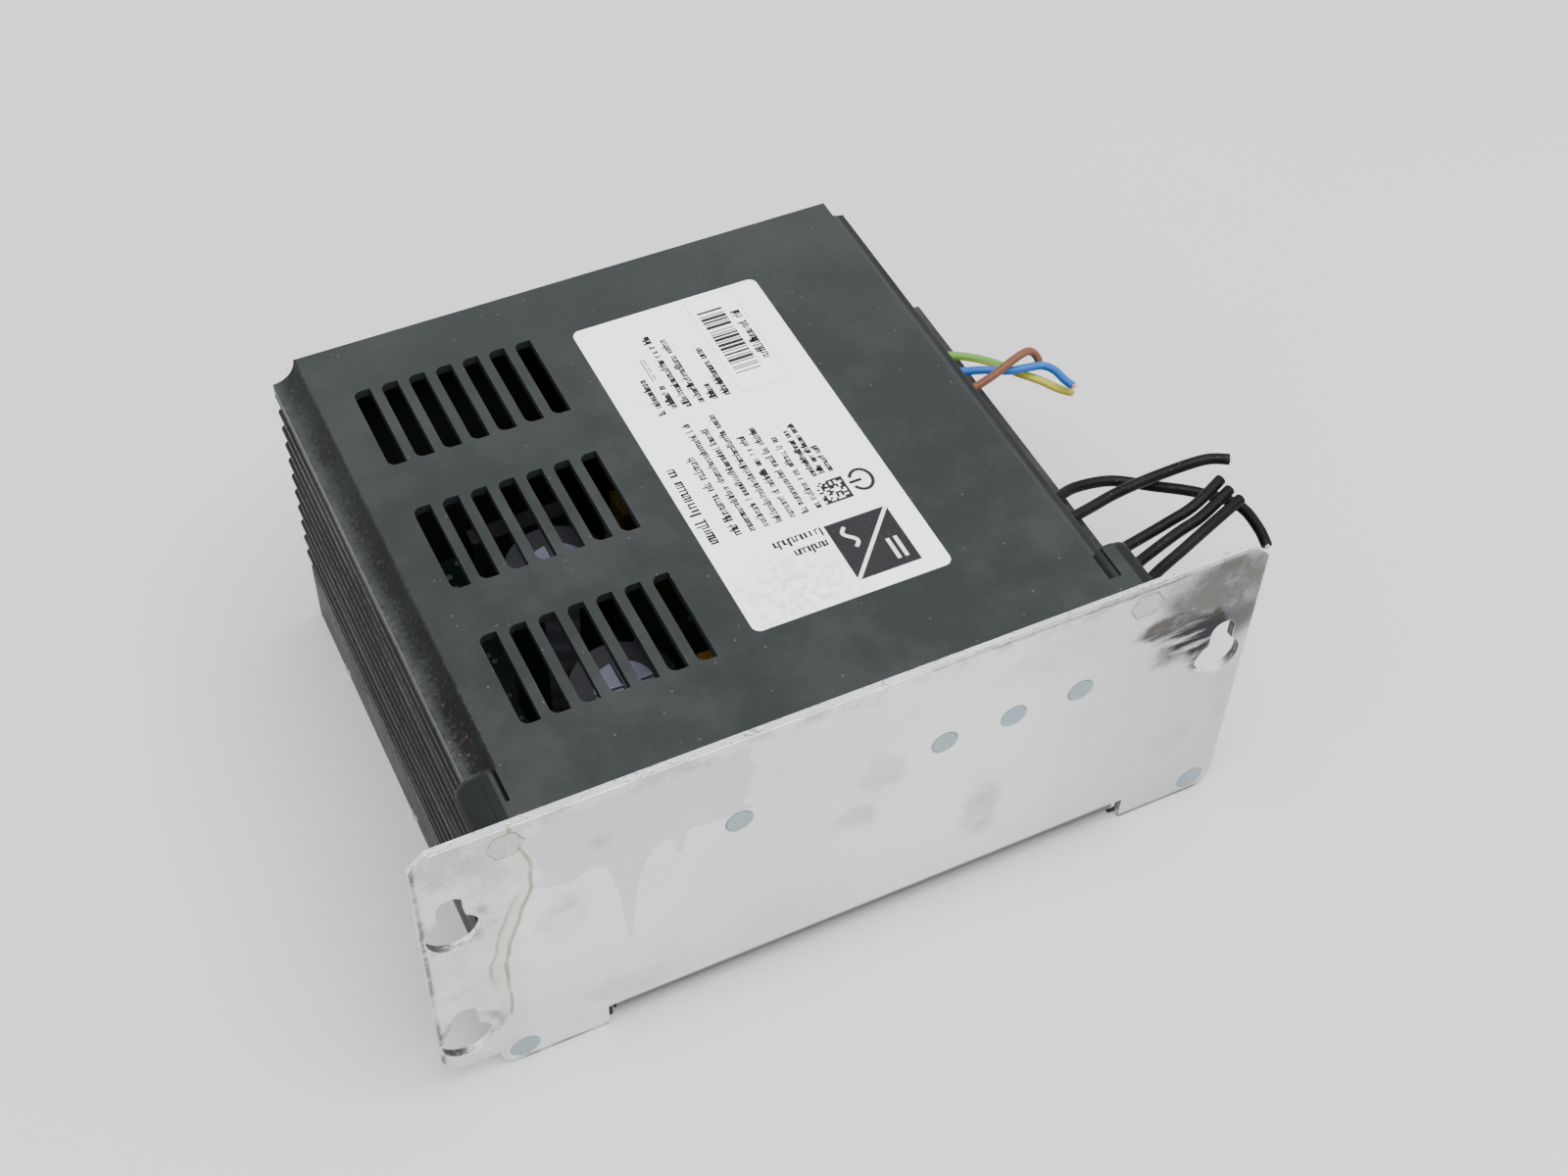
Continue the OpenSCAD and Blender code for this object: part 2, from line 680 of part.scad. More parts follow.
// A box nut that hangs on the screw and lifts the wire against the tongue
module clamp_cage(y) {
    color([0.78, 0.74, 0.5]) translate([pole_x, y, cage_bottom]) difference() {
        translate([-2.9, -2.7, 0]) cube([5.8, 5.4, cage_h]);
        translate([-4, -1.9, 1]) cube([8, 3.8, cage_h - 2.4]);
        translate([0, 0, cage_h - 3]) cylinder(r = clamp_r + fit_gap, h = 4);
    }
}

module trimmer_body() {
    color([0.2, 0.35, 0.65]) translate([pole_x, trimmer_y, link_top]) difference() {
        translate([-3.3, -3.3, 0]) cube([6.6, 6.6, 3.6]);
        translate([0, 0, 1.6]) cylinder(r = 1.75, h = 4);
    }
}

module trimmer_rotor() {
    color([0.95, 0.95, 0.9]) translate([pole_x, trimmer_y, link_top]) difference() {
        translate([0, 0, 1.7]) cylinder(r = 1.7, h = 2.2);
        translate([-0.3, -2, 3.1]) cube([0.6, 4, 2]);
    }
}

// A wire: the insulated length along its route and the bare end in the clamp
module wire(route, d) {
    tube(route, d);
    translate([pole_x - 2.6, route[0][1], wire_z]) rotate([0, 90, 0])
        cylinder(r = core_r, h = route[0][0] - pole_x + 2.6);
}

module wire_green_yellow() { color([0.45, 0.62, 0.2]) wire(route_green_yellow, mains_d); }
module wire_blue() { color([0.1, 0.35, 0.7]) wire(route_blue, mains_d); }
module wire_brown() { color([0.5, 0.28, 0.17]) wire(route_brown, mains_d); }
module wire_black_1() { color([0.07, 0.08, 0.08]) wire(route_black_1, output_d); }
module wire_black_2() { color([0.07, 0.08, 0.08]) wire(route_black_2, output_d); }
module wire_black_3() { color([0.07, 0.08, 0.08]) wire(route_black_3, output_d); }
module wire_black_4() { color([0.07, 0.08, 0.08]) wire(route_black_4, output_d); }
module wire_black_5() { color([0.07, 0.08, 0.08]) wire(route_black_5, output_d); }

// ---- nodes ----

mounting_plate();
plate_studs();
stud_nuts();
hex_standoffs();
hood_screws();
corner_studs();
hood();
base_shell();
rating_label();
serial_sticker();
heatsink();
heatsink_screws();
power_devices();
device_pads();
main_board();
board_screws();
connection_board();
link_bars();
bulk_capacitors();
bridge_rectifier();
transformer_core();
transformer_coil();
output_inductor();
output_capacitors();
choke_core();
choke_windings();
interference_capacitors();
fuse();
fuse_clips();
control_chips();
mains_terminal_block();
output_terminal_block_a();
output_terminal_block_b();
terminal_tongues();
trimmer_body();
trimmer_rotor();
for (i = [0:len(poles) - 1]) {
    clamp_screw(pole_y[i]);
    clamp_cage(pole_y[i]);
}
wire_green_yellow();
wire_blue();
wire_brown();
wire_black_1();
wire_black_2();
wire_black_3();
wire_black_4();
wire_black_5();
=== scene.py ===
import math

import bmesh
import bpy
import numpy as np
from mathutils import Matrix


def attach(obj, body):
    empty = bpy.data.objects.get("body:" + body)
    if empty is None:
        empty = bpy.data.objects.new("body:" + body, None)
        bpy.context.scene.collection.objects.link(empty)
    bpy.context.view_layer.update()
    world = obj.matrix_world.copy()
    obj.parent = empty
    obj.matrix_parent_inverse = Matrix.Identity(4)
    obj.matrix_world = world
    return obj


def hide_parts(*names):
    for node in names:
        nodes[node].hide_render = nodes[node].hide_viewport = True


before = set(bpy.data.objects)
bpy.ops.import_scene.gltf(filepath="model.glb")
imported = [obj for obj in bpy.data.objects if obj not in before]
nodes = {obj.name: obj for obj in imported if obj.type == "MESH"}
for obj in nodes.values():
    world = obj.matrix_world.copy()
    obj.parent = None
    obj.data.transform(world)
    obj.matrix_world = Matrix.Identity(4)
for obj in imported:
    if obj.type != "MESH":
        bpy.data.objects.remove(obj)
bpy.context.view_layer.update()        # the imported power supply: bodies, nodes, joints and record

mm = 0.001
dice = np.random.default_rng(24)
print("frame loaded with", len(nodes), "nodes")

cameraView = {
    "place": (-0.14904, -0.31870, 0.45295),
    "turn": (40.8714, -1.3987, -25.9231),   # degrees
    "lens": 51.756,
}
camera = bpy.data.objects.new("camera", bpy.data.cameras.new("camera"))
bpy.context.scene.collection.objects.link(camera)
camera.location = cameraView["place"]
camera.rotation_euler = [math.radians(a) for a in cameraView["turn"]]
camera.data.lens = cameraView["lens"]
camera.data.clip_start = 0.01
bpy.context.scene.camera = camera
print("camera placed")


def addPiece(name, mesh, body="housing"):
    # an object at the origin that rides on a body
    piece = bpy.data.objects.new(name, mesh)
    bpy.context.scene.collection.objects.link(piece)
    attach(piece, body)
    return piece


def closeMesh(mesh, gap=1e-6, turn=True):
    # merges points that meet, and turns the faces of a closed shape outwards
    work = bmesh.new()
    work.from_mesh(mesh)
    bmesh.ops.remove_doubles(work, verts=work.verts, dist=gap)
    if turn:
        bmesh.ops.recalc_face_normals(work, faces=work.faces)
    work.to_mesh(mesh)
    work.free()


def surfaceMesh(name, sheets, smooth=True):
    # each sheet is a grid of points, rows by columns, with or without a grid of uv;
    # neighbouring points make one quad, and seams and poles that meet are merged
    points, faces, maps, first = [], [], [], 0
    for grid, uv in sheets:
        rows, columns = grid.shape[:2]
        index = first + np.arange(rows * columns).reshape(rows, columns)
        corners = (index[:-1, :-1], index[:-1, 1:], index[1:, 1:], index[1:, :-1])
        faces.append(np.stack(corners, -1).reshape(-1, 4))
        points.append(grid.reshape(-1, 3))
        maps.append(np.zeros((rows * columns, 2)) if uv is None else uv.reshape(-1, 2))
        first += rows * columns
    points, faces, maps = np.concatenate(points), np.concatenate(faces), np.concatenate(maps)
    mesh = bpy.data.meshes.new(name)
    mesh.from_pydata(points.tolist(), [], faces.tolist())
    mesh.uv_layers.new(name="along").data.foreach_set("uv", maps[faces.ravel()].ravel())
    closeMesh(mesh)
    mesh.shade_smooth() if smooth else mesh.shade_flat()
    return mesh


def surfacePiece(name, sheets, smooth=True):
    return addPiece(name, surfaceMesh(name, sheets, smooth))


def smoothRoute(points, count):
    # Catmull-Rom: between two route points runs a cubic, its slopes taken from the neighbours
    p = np.array(points, float) * mm
    p = np.vstack([2 * p[0] - p[1], p, 2 * p[-1] - p[-2]])
    u = np.linspace(0, len(p) - 3, count)
    i = np.minimum(u.astype(int), len(p) - 4)
    t = (u - i)[:, None]
    a, b, c, d = p[i], p[i + 1], p[i + 2], p[i + 3]
    return 0.5 * (2 * b + (c - a) * t + (2 * a - 5 * b + 4 * c - d) * t**2 + (3 * b - a - 3 * c + d) * t**3)


def distances(path):
    # how far along the path each of its points is
    return np.concatenate([[0], np.linalg.norm(np.diff(path, axis=0), axis=1).cumsum()])


def tubeGrid(path, stations, radii, sides, offset=0.0, lead=0.0, twist=0.0):
    # a circle of each radius stands square to the path at each station; offset moves the
    # circle's centre off the path, at the angle lead, which turns by twist along the way
    far = distances(path)
    slope = np.gradient(path, far, axis=0)
    centre = np.stack([np.interp(stations, far, path[:, k]) for k in range(3)], -1)
    head = np.stack([np.interp(stations, far, slope[:, k]) for k in range(3)], -1)
    head /= np.linalg.norm(head, axis=1)[:, None]
    over = np.maximum(stations - far[-1], 0) - np.maximum(-stations, 0)
    centre = centre + over[:, None] * head
    side = np.cross(head, [0, 0, 1])
    side /= np.linalg.norm(side, axis=1)[:, None]
    up = np.cross(side, head)
    a = (lead + twist * stations)[:, None]
    centre = centre + offset * (np.cos(a) * side + np.sin(a) * up)
    turn = np.linspace(0, 2 * np.pi, sides + 1)[None, :, None]
    ring = np.cos(turn) * side[:, None] + np.sin(turn) * up[:, None]
    grid = centre[:, None] + np.asarray(radii)[:, None, None] * ring
    v = np.broadcast_to(np.asarray(stations)[:, None], grid.shape[:2])
    u = np.broadcast_to(np.linspace(0, 1, sides + 1)[None], grid.shape[:2])
    return grid, np.stack([u, v], -1)


wireLook = {
    "mains": 2.2, "output": 2.9,        # diameters in millimetres
    "bareTip": 0.7, "strand": 0.24,
    "routes": {
        "green_yellow": [[76, 50, 47], [81, 50, 47], [87, 49, 46], [93, 47, 45], [99, 43, 44],
                         [103, 37, 44], [107, 32, 44], [110, 27, 44], [113, 24, 44]],
        "blue": [[76, 42.5, 47], [81, 42.5, 47], [87, 41, 47], [93, 38, 48], [99, 35, 48],
                 [104, 34, 48], [108, 33, 48], [110, 30, 48], [110.5, 26, 48], [111.5, 22.5, 48]],
        "brown": [[76, 35, 47], [81, 35, 47], [87, 34, 47], [93, 34, 49], [99, 35, 51],
                  [103, 36, 51.5], [106, 37, 50.5], [108, 36.5, 48.5], [108.5, 35, 46.5]],
        "black_1": [[76, -9, 47], [82, -9, 47], [88, -8, 46], [95, -6, 45], [105, -7, 44],
                    [114, -12, 43], [124, -18, 42], [131, -26, 42], [132, -34, 41], [131, -40, 40]],
        "black_2": [[76, -16.5, 47], [82, -16.5, 47], [88, -16, 47], [94, -15, 47],
                    [101, -14, 47.5], [110, -13.5, 48], [121, -14, 49], [128, -15, 49.5], [133, -18, 50]],
        "black_3": [[76, -31.5, 47], [82, -31.5, 47], [88, -31, 47], [97, -29.5, 47],
                    [108, -28, 48], [116, -27, 49.5], [126.5, -23, 51]],
        "black_4": [[76, -39, 47], [82, -39, 47], [88, -38, 47], [96.5, -35, 47],
                    [108, -32, 48], [116, -30.5, 49], [127, -26.5, 50.5]],
        "black_5": [[76, -46.5, 47], [82, -46.5, 47], [88, -45, 47], [96.5, -40.5, 47],
                    [107, -37, 48], [116, -34, 49], [128, -30, 50]],
    },
}
cords, strandPieces = {}, {}
for wireName, route in wireLook["routes"].items():
    radius = (wireLook["output"] if "black" in wireName else wireLook["mains"]) / 2 * mm
    whole = smoothRoute(route, 161)
    far = distances(whole)
    skinEnd = far[-1] - wireLook["bareTip"] * mm
    line = np.linspace(0, skinEnd, 37)
    # the skin: closed at the terminal, cut square at the far end and hollow for a millimetre
    lip = np.array([0, 0, 0.02, 0.12]) * mm
    stations = np.concatenate([[0, 0], line[1:-1], skinEnd - lip[::-1],
                               [skinEnd, skinEnd - mm, skinEnd - mm]])
    radii = np.concatenate([[0, radius], np.full(len(line) - 2, radius),
                            radius - np.array([0, 0.02, 0.08, 0.14]) * mm,
                            [0.56 * radius, 0.56 * radius, 0]])
    skin = surfacePiece("cord_" + wireName, [tubeGrid(whole, stations, radii, 20)])
    # seven twisted strands: one stretch in the clamp, one at the cut end
    strand = wireLook["strand"] * mm
    tops = np.concatenate([[far[-1] - 0.35 * mm], far[-1] - dice.uniform(0, 0.3, 6) * mm])
    bundle = []
    for k in range(7):
        away = 0 if k == 0 else 0.5 * mm
        for low, high in ((-6 * mm, 0.5 * mm), (far[-1] - 3 * mm, tops[k])):
            s = np.concatenate([[low], np.linspace(low, high, 8), [high]])
            r = np.full(10, strand)
            r[[0, -1]] = 0
            bundle.append(tubeGrid(whole, s, r, 8, away, k * np.pi / 3, 300))
    strands = surfacePiece("strands_" + wireName, bundle)
    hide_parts("wire_" + wireName)
    cords[wireName], strandPieces[wireName] = skin, strands
print("cords made:", len(cords))


def cadCopy(node, name, width, angle=32, segments=2):
    # a merged copy of a CAD node, its flat faces joined and its sharp edges rounded by a bevel
    source = nodes[node].data
    count = len(source.vertices)
    points = np.empty(count * 3, np.float32)
    source.vertices.foreach_get("co", points)
    corners = np.empty(len(source.loops), np.int32)
    source.loops.foreach_get("vertex_index", corners)
    mesh = bpy.data.meshes.new(name)
    mesh.from_pydata(points.reshape(-1, 3).tolist(), [], corners.reshape(-1, 3).tolist())
    work = bmesh.new()
    work.from_mesh(mesh)
    bmesh.ops.remove_doubles(work, verts=work.verts, dist=2e-6)
    bmesh.ops.dissolve_limit(work, angle_limit=math.radians(0.4), verts=work.verts, edges=work.edges)
    for edge in work.edges:
        edge.smooth = len(edge.link_faces) == 2 and edge.calc_face_angle(0) < math.radians(angle)
    work.to_mesh(mesh)
    work.free()
    mesh.shade_smooth()
    piece = addPiece(name, mesh)
    bevel = piece.modifiers.new("softEdges", "BEVEL")
    bevel.width = width * mm
    bevel.segments = segments
    bevel.limit_method = "ANGLE"
    bevel.angle_limit = math.radians(angle)
    bevel.harden_normals = True
    bevel.use_clamp_overlap = True
    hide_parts(node)
    return piece


edgeLook = {"hood": 0.35, "plate": 0.22, "tray": 0.3}        # how far the edges are rounded, in millimetres
hoodPiece = cadCopy("hood", "vented_hood", edgeLook["hood"])
platePiece = cadCopy("mounting_plate", "fixing_plate", edgeLook["plate"])
trayPiece = cadCopy("base_shell", "base_tray", edgeLook["tray"])
print("hood, plate and tray rounded")


bench = {}        # what is being made: its node tree, and a material's shader


def fill(node, sockets):
    # each socket takes a value, or the output that feeds it
    for key, value in sockets.items():
        if isinstance(value, bpy.types.NodeSocket):
            bench["tree"].links.new(value, node.inputs[key])
        else:
            node.inputs[key].default_value = value
    return node


def place(kind, sockets={}, **settings):
    # one new shader node
    node = bench["tree"].nodes.new("ShaderNode" + kind)
    for key, value in settings.items():
        setattr(node, key, value)
    return fill(node, sockets)


def calc(operation, *values, clamp=False):
    return place("Math", dict(enumerate(values)), operation=operation, use_clamp=clamp).outputs[0]


def vector(operation, *values):
    return place("VectorMath", dict(enumerate(values)), operation=operation).outputs


def plus(a, b, clamp=False):
    return calc("ADD", a, b, clamp=clamp)


def minus(a, b):
    return calc("SUBTRACT", a, b)


def most(a, b):
    return calc("MAXIMUM", a, b)


def unsigned(a):
    return calc("ABSOLUTE", a)


def times(*factors, clamp=False):
    # the product of one or more values
    product = factors[0]
    for k, factor in enumerate(factors[1:], 2):
        product = calc("MULTIPLY", product, factor, clamp=clamp and k == len(factors))
    return product


def fade(value, low, high, start=0.0, end=1.0):
    # value from low to high becomes start to end, with soft ends
    return place("MapRange", {0: value, 1: low, 2: high, 3: start, 4: end},
                 interpolation_type="SMOOTHSTEP").outputs[0]


def noise(where, scale, detail, roughness=0.5):
    return place("TexNoise", {"Vector": where, "Scale": scale, "Detail": detail,
                              "Roughness": roughness}).outputs["Fac"]


def axesOf(vector):
    return place("SeparateXYZ", {0: vector}).outputs[:]


def facing():
    # the surface's own normal
    return place("NewGeometry").outputs["Normal"]


def tone(colour, factor, more=0.0):
    return tuple(min(c * factor + more, 1) for c in colour)


def shade(colour):
    return (*colour, 1.0) if isinstance(colour, tuple) else colour


def blendOf(factor, a, b):
    # two colours, each plain or from a node, mixed by a factor
    return place("Mix", {0: factor, 6: shade(a), 7: shade(b)}, data_type="RGBA",
                 clamp_factor=True).outputs[2]


def paint(base, colour, *masks):
    # a colour laid over the base where all the masks are
    return blendOf(times(*masks), base, colour)


def relief(height, depth):
    # a bump of that depth in metres
    return place("Bump", {"Height": height, "Distance": depth, "Strength": 1.0}).outputs[0]


def newGroup(name, inputs, *outputs):
    # a shader node group; each of its inputs is a vector or a float, as its default is
    tree = bench["tree"] = bpy.data.node_groups.new(name, "ShaderNodeTree")
    for label, value in {"Position": (0, 0, 0), **inputs}.items():
        kind = "NodeSocketVector" if isinstance(value, tuple) else "NodeSocketFloat"
        tree.interface.new_socket(label, in_out="INPUT", socket_type=kind).default_value = value
    for label in outputs:
        tree.interface.new_socket(label, in_out="OUTPUT", socket_type="NodeSocketFloat")
    sockets = tree.nodes.new("NodeGroupInput").outputs
    return sockets, sockets["Position"]


def closeGroup(*values):
    # the values leave the group by its outputs, in their order
    fill(bench["tree"].nodes.new("NodeGroupOutput"), dict(enumerate(values)))
    return bench["tree"]


def useGroup(group, *values):
    # the values are for its inputs, in their order
    node = place("Group", node_tree=group)
    return fill(node, dict(enumerate(values))).outputs


def makeFineGrain():
    # moulded or cast grain: two sizes of noise; Size is in metres
    given, where = newGroup("fineGrain", {"Size": 0.001}, "Height", "Cloud")
    scale = calc("DIVIDE", 1.0, given["Size"])
    return closeGroup(noise(where, scale, 3.0, 0.6), noise(where, times(scale, 0.035), 4.0, 0.55))


def makeEdgeWear():
    # where a rounded normal leaves the face's own, a noisy rim is rubbed; Width is in metres
    given, where = newGroup("edgeWear", {"Width": 0.0006, "Amount": 0.5}, "Mask")
    rounded = place("Bevel", {"Radius": given["Width"]}, samples=4).outputs[0]
    rim = fade(vector("DOT_PRODUCT", rounded, facing())["Value"], 0.99, 0.80)
    ragged = fade(noise(where, 420.0, 4.0, 0.7), 0.36, 0.62)
    return closeGroup(times(rim, ragged, given["Amount"], clamp=True))


def makeDustFilm():
    # settled dust: cloudy on faces that look up, with sparse specks of Speck metres
    given, where = newGroup("dustFilm", {"Amount": 0.3, "Speck": 0.0006}, "Film", "Specks")
    lift = fade(axesOf(facing())[2], -0.2, 0.9, 0.25, 1.0)
    film = times(fade(noise(where, 38.0, 6.0, 0.68), 0.38, 0.72), lift, given["Amount"], clamp=True)
    cells = place("TexVoronoi", {"Vector": where, "Scale": calc("DIVIDE", 0.4, given["Speck"]),
                                 "Randomness": 1.0}).outputs
    rare = calc("GREATER_THAN", axesOf(cells["Color"])[0], minus(0.99, times(given["Amount"], 0.22)))
    specks = times(fade(cells["Distance"], 0.24, 0.10), rare, fade(given["Amount"], 0.0, 0.5), lift)
    return closeGroup(film, specks)


def makeStain():
    # a ragged oval patch: Mask is inside it, Rim is the dried line round it
    given, where = newGroup("stain", {"Centre": (0, 0, 0), "Reach": (0.01, 0.01, 0.01), "Ragged": 0.4,
                                      "Detail": 90.0, "Softness": 0.1}, "Mask", "Rim")
    share = vector("DIVIDE", vector("SUBTRACT", where, given["Centre"])[0], given["Reach"])[0]
    uneven = times(minus(noise(where, given["Detail"], 4.0, 0.55), 0.5), given["Ragged"], 2.0)
    far = plus(vector("LENGTH", share)["Value"], uneven)
    inside = fade(far, plus(1.0, given["Softness"]), minus(1.0, given["Softness"]))
    return closeGroup(inside, fade(unsigned(minus(far, 1.0)), given["Softness"], 0.0))


def makeScratches():
    # fine straight marks: noise drawn out along one direction, cut off high
    given, where = newGroup("scratches", {"Turn": 0.4, "Length": 0.02, "Amount": 0.4}, "Mask", "Hairline")
    turned = place("VectorRotate", {"Vector": where, "Angle": given["Turn"], "Axis": (0, 1, 0)},
                   rotation_type="AXIS_ANGLE").outputs[0]
    squeeze = place("CombineXYZ", {0: calc("DIVIDE", 1.0, given["Length"]), 1: 900.0, 2: 1900.0}).outputs[0]
    lines = noise(vector("MULTIPLY", turned, squeeze)[0], 1.0, 2.0)
    seldom = fade(noise(where, 45.0, 2.0), 0.5, 0.62)
    return closeGroup(times(fade(lines, 0.66, 0.74), seldom, given["Amount"], clamp=True), lines)


fineGrain, edgeWear, dustFilm = makeFineGrain(), makeEdgeWear(), makeDustFilm()
stain, scratches = makeStain(), makeScratches()
print("shader groups made")

shaderSockets = {"colour": "Base Color", "rough": "Roughness", "metal": "Metallic", "normal": "Normal",
                 "bend": "IOR", "shine": "Specular IOR Level", "coating": "Coat Weight"}


def feed(**finish):
    # plain values, or the outputs of a pattern, for the shader's own sockets
    return fill(bench["shader"], {shaderSockets[key]: value for key, value in finish.items()})


def feedGrained(base, grain, smooth, dull, depth):
    # colour, with roughness and relief from the grain
    feed(colour=base, rough=fade(grain, 0.3, 0.7, smooth, dull), normal=relief(grain, depth))


def newMaterial(name, **finish):
    # a material with one Principled shader, and the position on the object that its pattern reads
    material = bpy.data.materials.new(name)
    material.use_nodes = True
    bench["tree"] = material.node_tree
    bench["tree"].nodes.clear()
    bench["shader"] = place("BsdfPrincipled")
    place("OutputMaterial", {"Surface": feed(**finish).outputs[0]})
    return material, place("TexCoord").outputs["Object"]


def mouldedPlastic(name, colour, grainSize, depth, rough, dust, wear):
    # grained plastic with clouded colour, settled dust and paler rubbed edges
    material, where = newMaterial(name, bend=1.5, shine=0.22)
    grain = useGroup(fineGrain, where, grainSize)
    film = useGroup(dustFilm, where, dust, 0.0005)
    rub = useGroup(edgeWear, where, 0.0005, wear)
    base = blendOf(grain["Cloud"], tone(colour, 0.82), tone(colour, 1.22))
    base = paint(base, (0.20, 0.19, 0.17), film["Film"], 0.45)
    base = paint(base, (0.42, 0.42, 0.38), film["Specks"])
    base = paint(base, tone(colour, 1.9, 0.02), rub["Mask"])
    matt = fade(grain["Cloud"], 0.3, 0.7, rough - 0.06, rough + 0.06)
    feed(colour=base, rough=plus(matt, times(film["Film"], 0.3), clamp=True),
         normal=relief(grain["Height"], depth))
    return material, where, base, film["Film"]


def setMaterial(material, *pieces):
    # one material for whole pieces or CAD nodes, by name or object
    for piece in pieces:
        piece = nodes[piece] if isinstance(piece, str) else piece
        if not piece.material_slots:
            piece.data.materials.append(material)
        for slot in piece.material_slots:
            slot.material = material


def dress(piece, material):
    setMaterial(material, piece)


hoodFinish = {
    # grain is its size and depth in metres
    "slate": (0.0114, 0.0143, 0.0139), "grain": (0.00045, 0.00003), "roughness": 0.46,
    "dust": 0.12, "wear": 0.4,
    "soot": (0.0026, 0.0020, 0.0017), "rust": (0.085, 0.034, 0.022), "pale": (0.085, 0.088, 0.078),
    # the boss colour is painted shade
    # the groove colour is painted shade, and the ridge colour a painted highlight
    "groove": (0.0035, 0.0038, 0.0038), "ridgeHighlight": (0.050, 0.056, 0.056), "bossShade": (0.0042, 0.0052, 0.0051),
    # the top's paler back colour is dust with a painted reflection
    "dustAndSheenTop": (0.027, 0.030, 0.029),
}


def makeHoodPlastic():
    # slate plastic; soot lies in the left hollow and thins out over the lip
    look = hoodFinish
    material, where, base, film = mouldedPlastic("slatePlastic", look["slate"], *look["grain"],
                                                 look["roughness"], look["dust"], look["wear"])
    x, y = axesOf(where)[:2]
    grit = noise(where, 900.0, 4.0, 0.75)
    patchy = noise(where, 60.0, 3.0)
    # the soot's foot wanders, and its grains thin out down the hollow
    foot = plus(x, times(minus(patchy, 0.5), 0.0030))
    band = times(fade(foot, -0.0834, -0.0774), fade(x, -0.0755, -0.0761),
                 fade(y, -0.0595, -0.0565, 0.15, 1.0))
    soot = times(fade(plus(band, times(minus(grit, 0.5), 2.4)), 0.30, 1.05), fade(band, 0.0, 0.15),
                 fade(patchy, 0.30, 0.60, 0.72, 1.0))
    crumbs = place("TexVoronoi", {"Vector": where, "Scale": 760.0}).outputs
    crumb = times(fade(crumbs["Distance"], 0.40, 0.15),
                  calc("GREATER_THAN", axesOf(crumbs["Color"])[1], 0.88),
                  fade(x, -0.074, -0.077), fade(y, 0.045, -0.010), fade(patchy, 0.36, 0.56))
    base = paint(base, look["pale"], fade(x, -0.0795, -0.0815), fade(y, -0.0585, -0.0565),
                 fade(grit, 0.42, 0.66, 0.0, 0.45))
    base = paint(base, look["soot"], soot, 0.94)
    base = paint(base, look["rust"], crumb, 0.8)
    # painted shade in the groove along the right lip, and a painted highlight on the ridge beside it, short of
    # the boss
    short = fade(y, -0.0580, -0.0565)
    groove = times(fade(x, 0.0655, 0.0661), fade(x, 0.0676, 0.0669), short)
    ridgeHighlight = times(fade(x, 0.0674, 0.0679), fade(x, 0.0690, 0.0684), short)
    # the bosses at the front are painted darker, as shade, and made rougher
    bossShade = times(most(fade(x, -0.0778, -0.0784), fade(x, 0.0676, 0.0684)), fade(y, -0.0565, -0.0585))
    base = paint(base, look["bossShade"], bossShade, 0.85)
    # the top is paler towards the back: some dust, and a painted reflection of the bright room behind
    base = paint(base, look["dustAndSheenTop"], fade(y, -0.03, 0.07, 0.0, 0.34))
    base = paint(base, look["groove"], groove, fade(patchy, 0.3, 0.7, 0.6, 0.95))
    base = paint(base, look["ridgeHighlight"], ridgeHighlight, fade(patchy, 0.3, 0.7, 0.9, 0.5))
    matt = plus(look["roughness"], times(most(soot, bossShade), 0.4), clamp=True)
    feed(colour=base, rough=plus(matt, times(film, 0.25), clamp=True))
    return material


plateFinish = {
    "film": (0.50, 0.515, 0.51), "dried": (0.30, 0.255, 0.145), "smear": (0.30, 0.295, 0.28),
    # the ring colour is painted shade round the heads
    "grime": (0.40, 0.385, 0.34), "edgeDark": (0.085, 0.075, 0.060), "ring": (0.11, 0.13, 0.135),
    "black": (0.034, 0.034, 0.038), "brown": (0.088, 0.077, 0.061), "haze": (0.50, 0.505, 0.50),
    "metal": ((0.70, 0.705, 0.70), (0.83, 0.83, 0.825)), "holeDirt": (0.16, 0.15, 0.135),
    "wash": (0.56, 0.54, 0.44), "mark": (0.34, 0.33, 0.32), "pit": (0.24, 0.23, 0.20),
    # the fold colour is painted shade
    "rubbed": (0.92, 0.92, 0.90), "fold": (0.035, 0.035, 0.034),
    # the film's lower and upper borders in millimetres, and each drip's place, depth and width
    "filmFoot": 64.0, "filmTop": 84.5,
    "drips": [(-54.4, 16.0, 3.9), (-54.8, 17.0, 1.5), (-42.7, 6.5, 1.3), (-68.0, 2.5, 4.0)],
    # centre x, z and reach x, z in millimetres, how ragged, then how strong, for faint smears
    "smears": [(32.5, 28, 5, 10.5, 0.25, 1.0), (5, 56, 5, 9, 0.8, 0.7), (1, 44, 5, 5, 0.8, 0.8),
               (46, 76, 12, 6, 0.9, 0.5), (84, 26, 5, 3, 0.9, 0.9), (97, 40, 3, 12, 0.9, 0.9),
               (-70, 50, 5, 8, 0.95, 0.8), (-55, 14, 12, 4, 0.95, 0.6), (-60, 72, 3, 2, 0.9, 1.0)],
    # the same for the black smear round the right keyhole
    "soots": [(89, 80, 15, 9.5, 0.32, 0.86), (95, 72, 7, 13, 0.35, 0.84), (85, 65, 11, 7.5, 0.55, 1.0),
              (77, 72, 9, 4.0, 0.6, 0.95), (89, 54, 4, 4, 0.6, 0.9), (60, 88.5, 50, 1.2, 0.8, 0.6)],
    # centre x, z and radius of the painted shade line round each pressed-in head
    "headShadeRings": [(-28.9, 60.5, 3.2), (20.5, 60.5, 3.2), (37.8, 60.5, 3.2), (54.9, 60.5, 3.2), (-81, 4.9, 3.2),
              (94, 4.9, 3.2)],
    # centre x, z of each hexagon of painted shade round a hex head, and the distance of its flats from the
    # middle
    "hexShadeRings": [(-80.2, 82.8, 3.6), (68.7, 82.8, 3.6)],
    # centre x, z and radius of the dirt round each keyhole
    "holes": [(-92.5, 61.0, 7.0), (-93.0, 19.5, 7.0)],
}


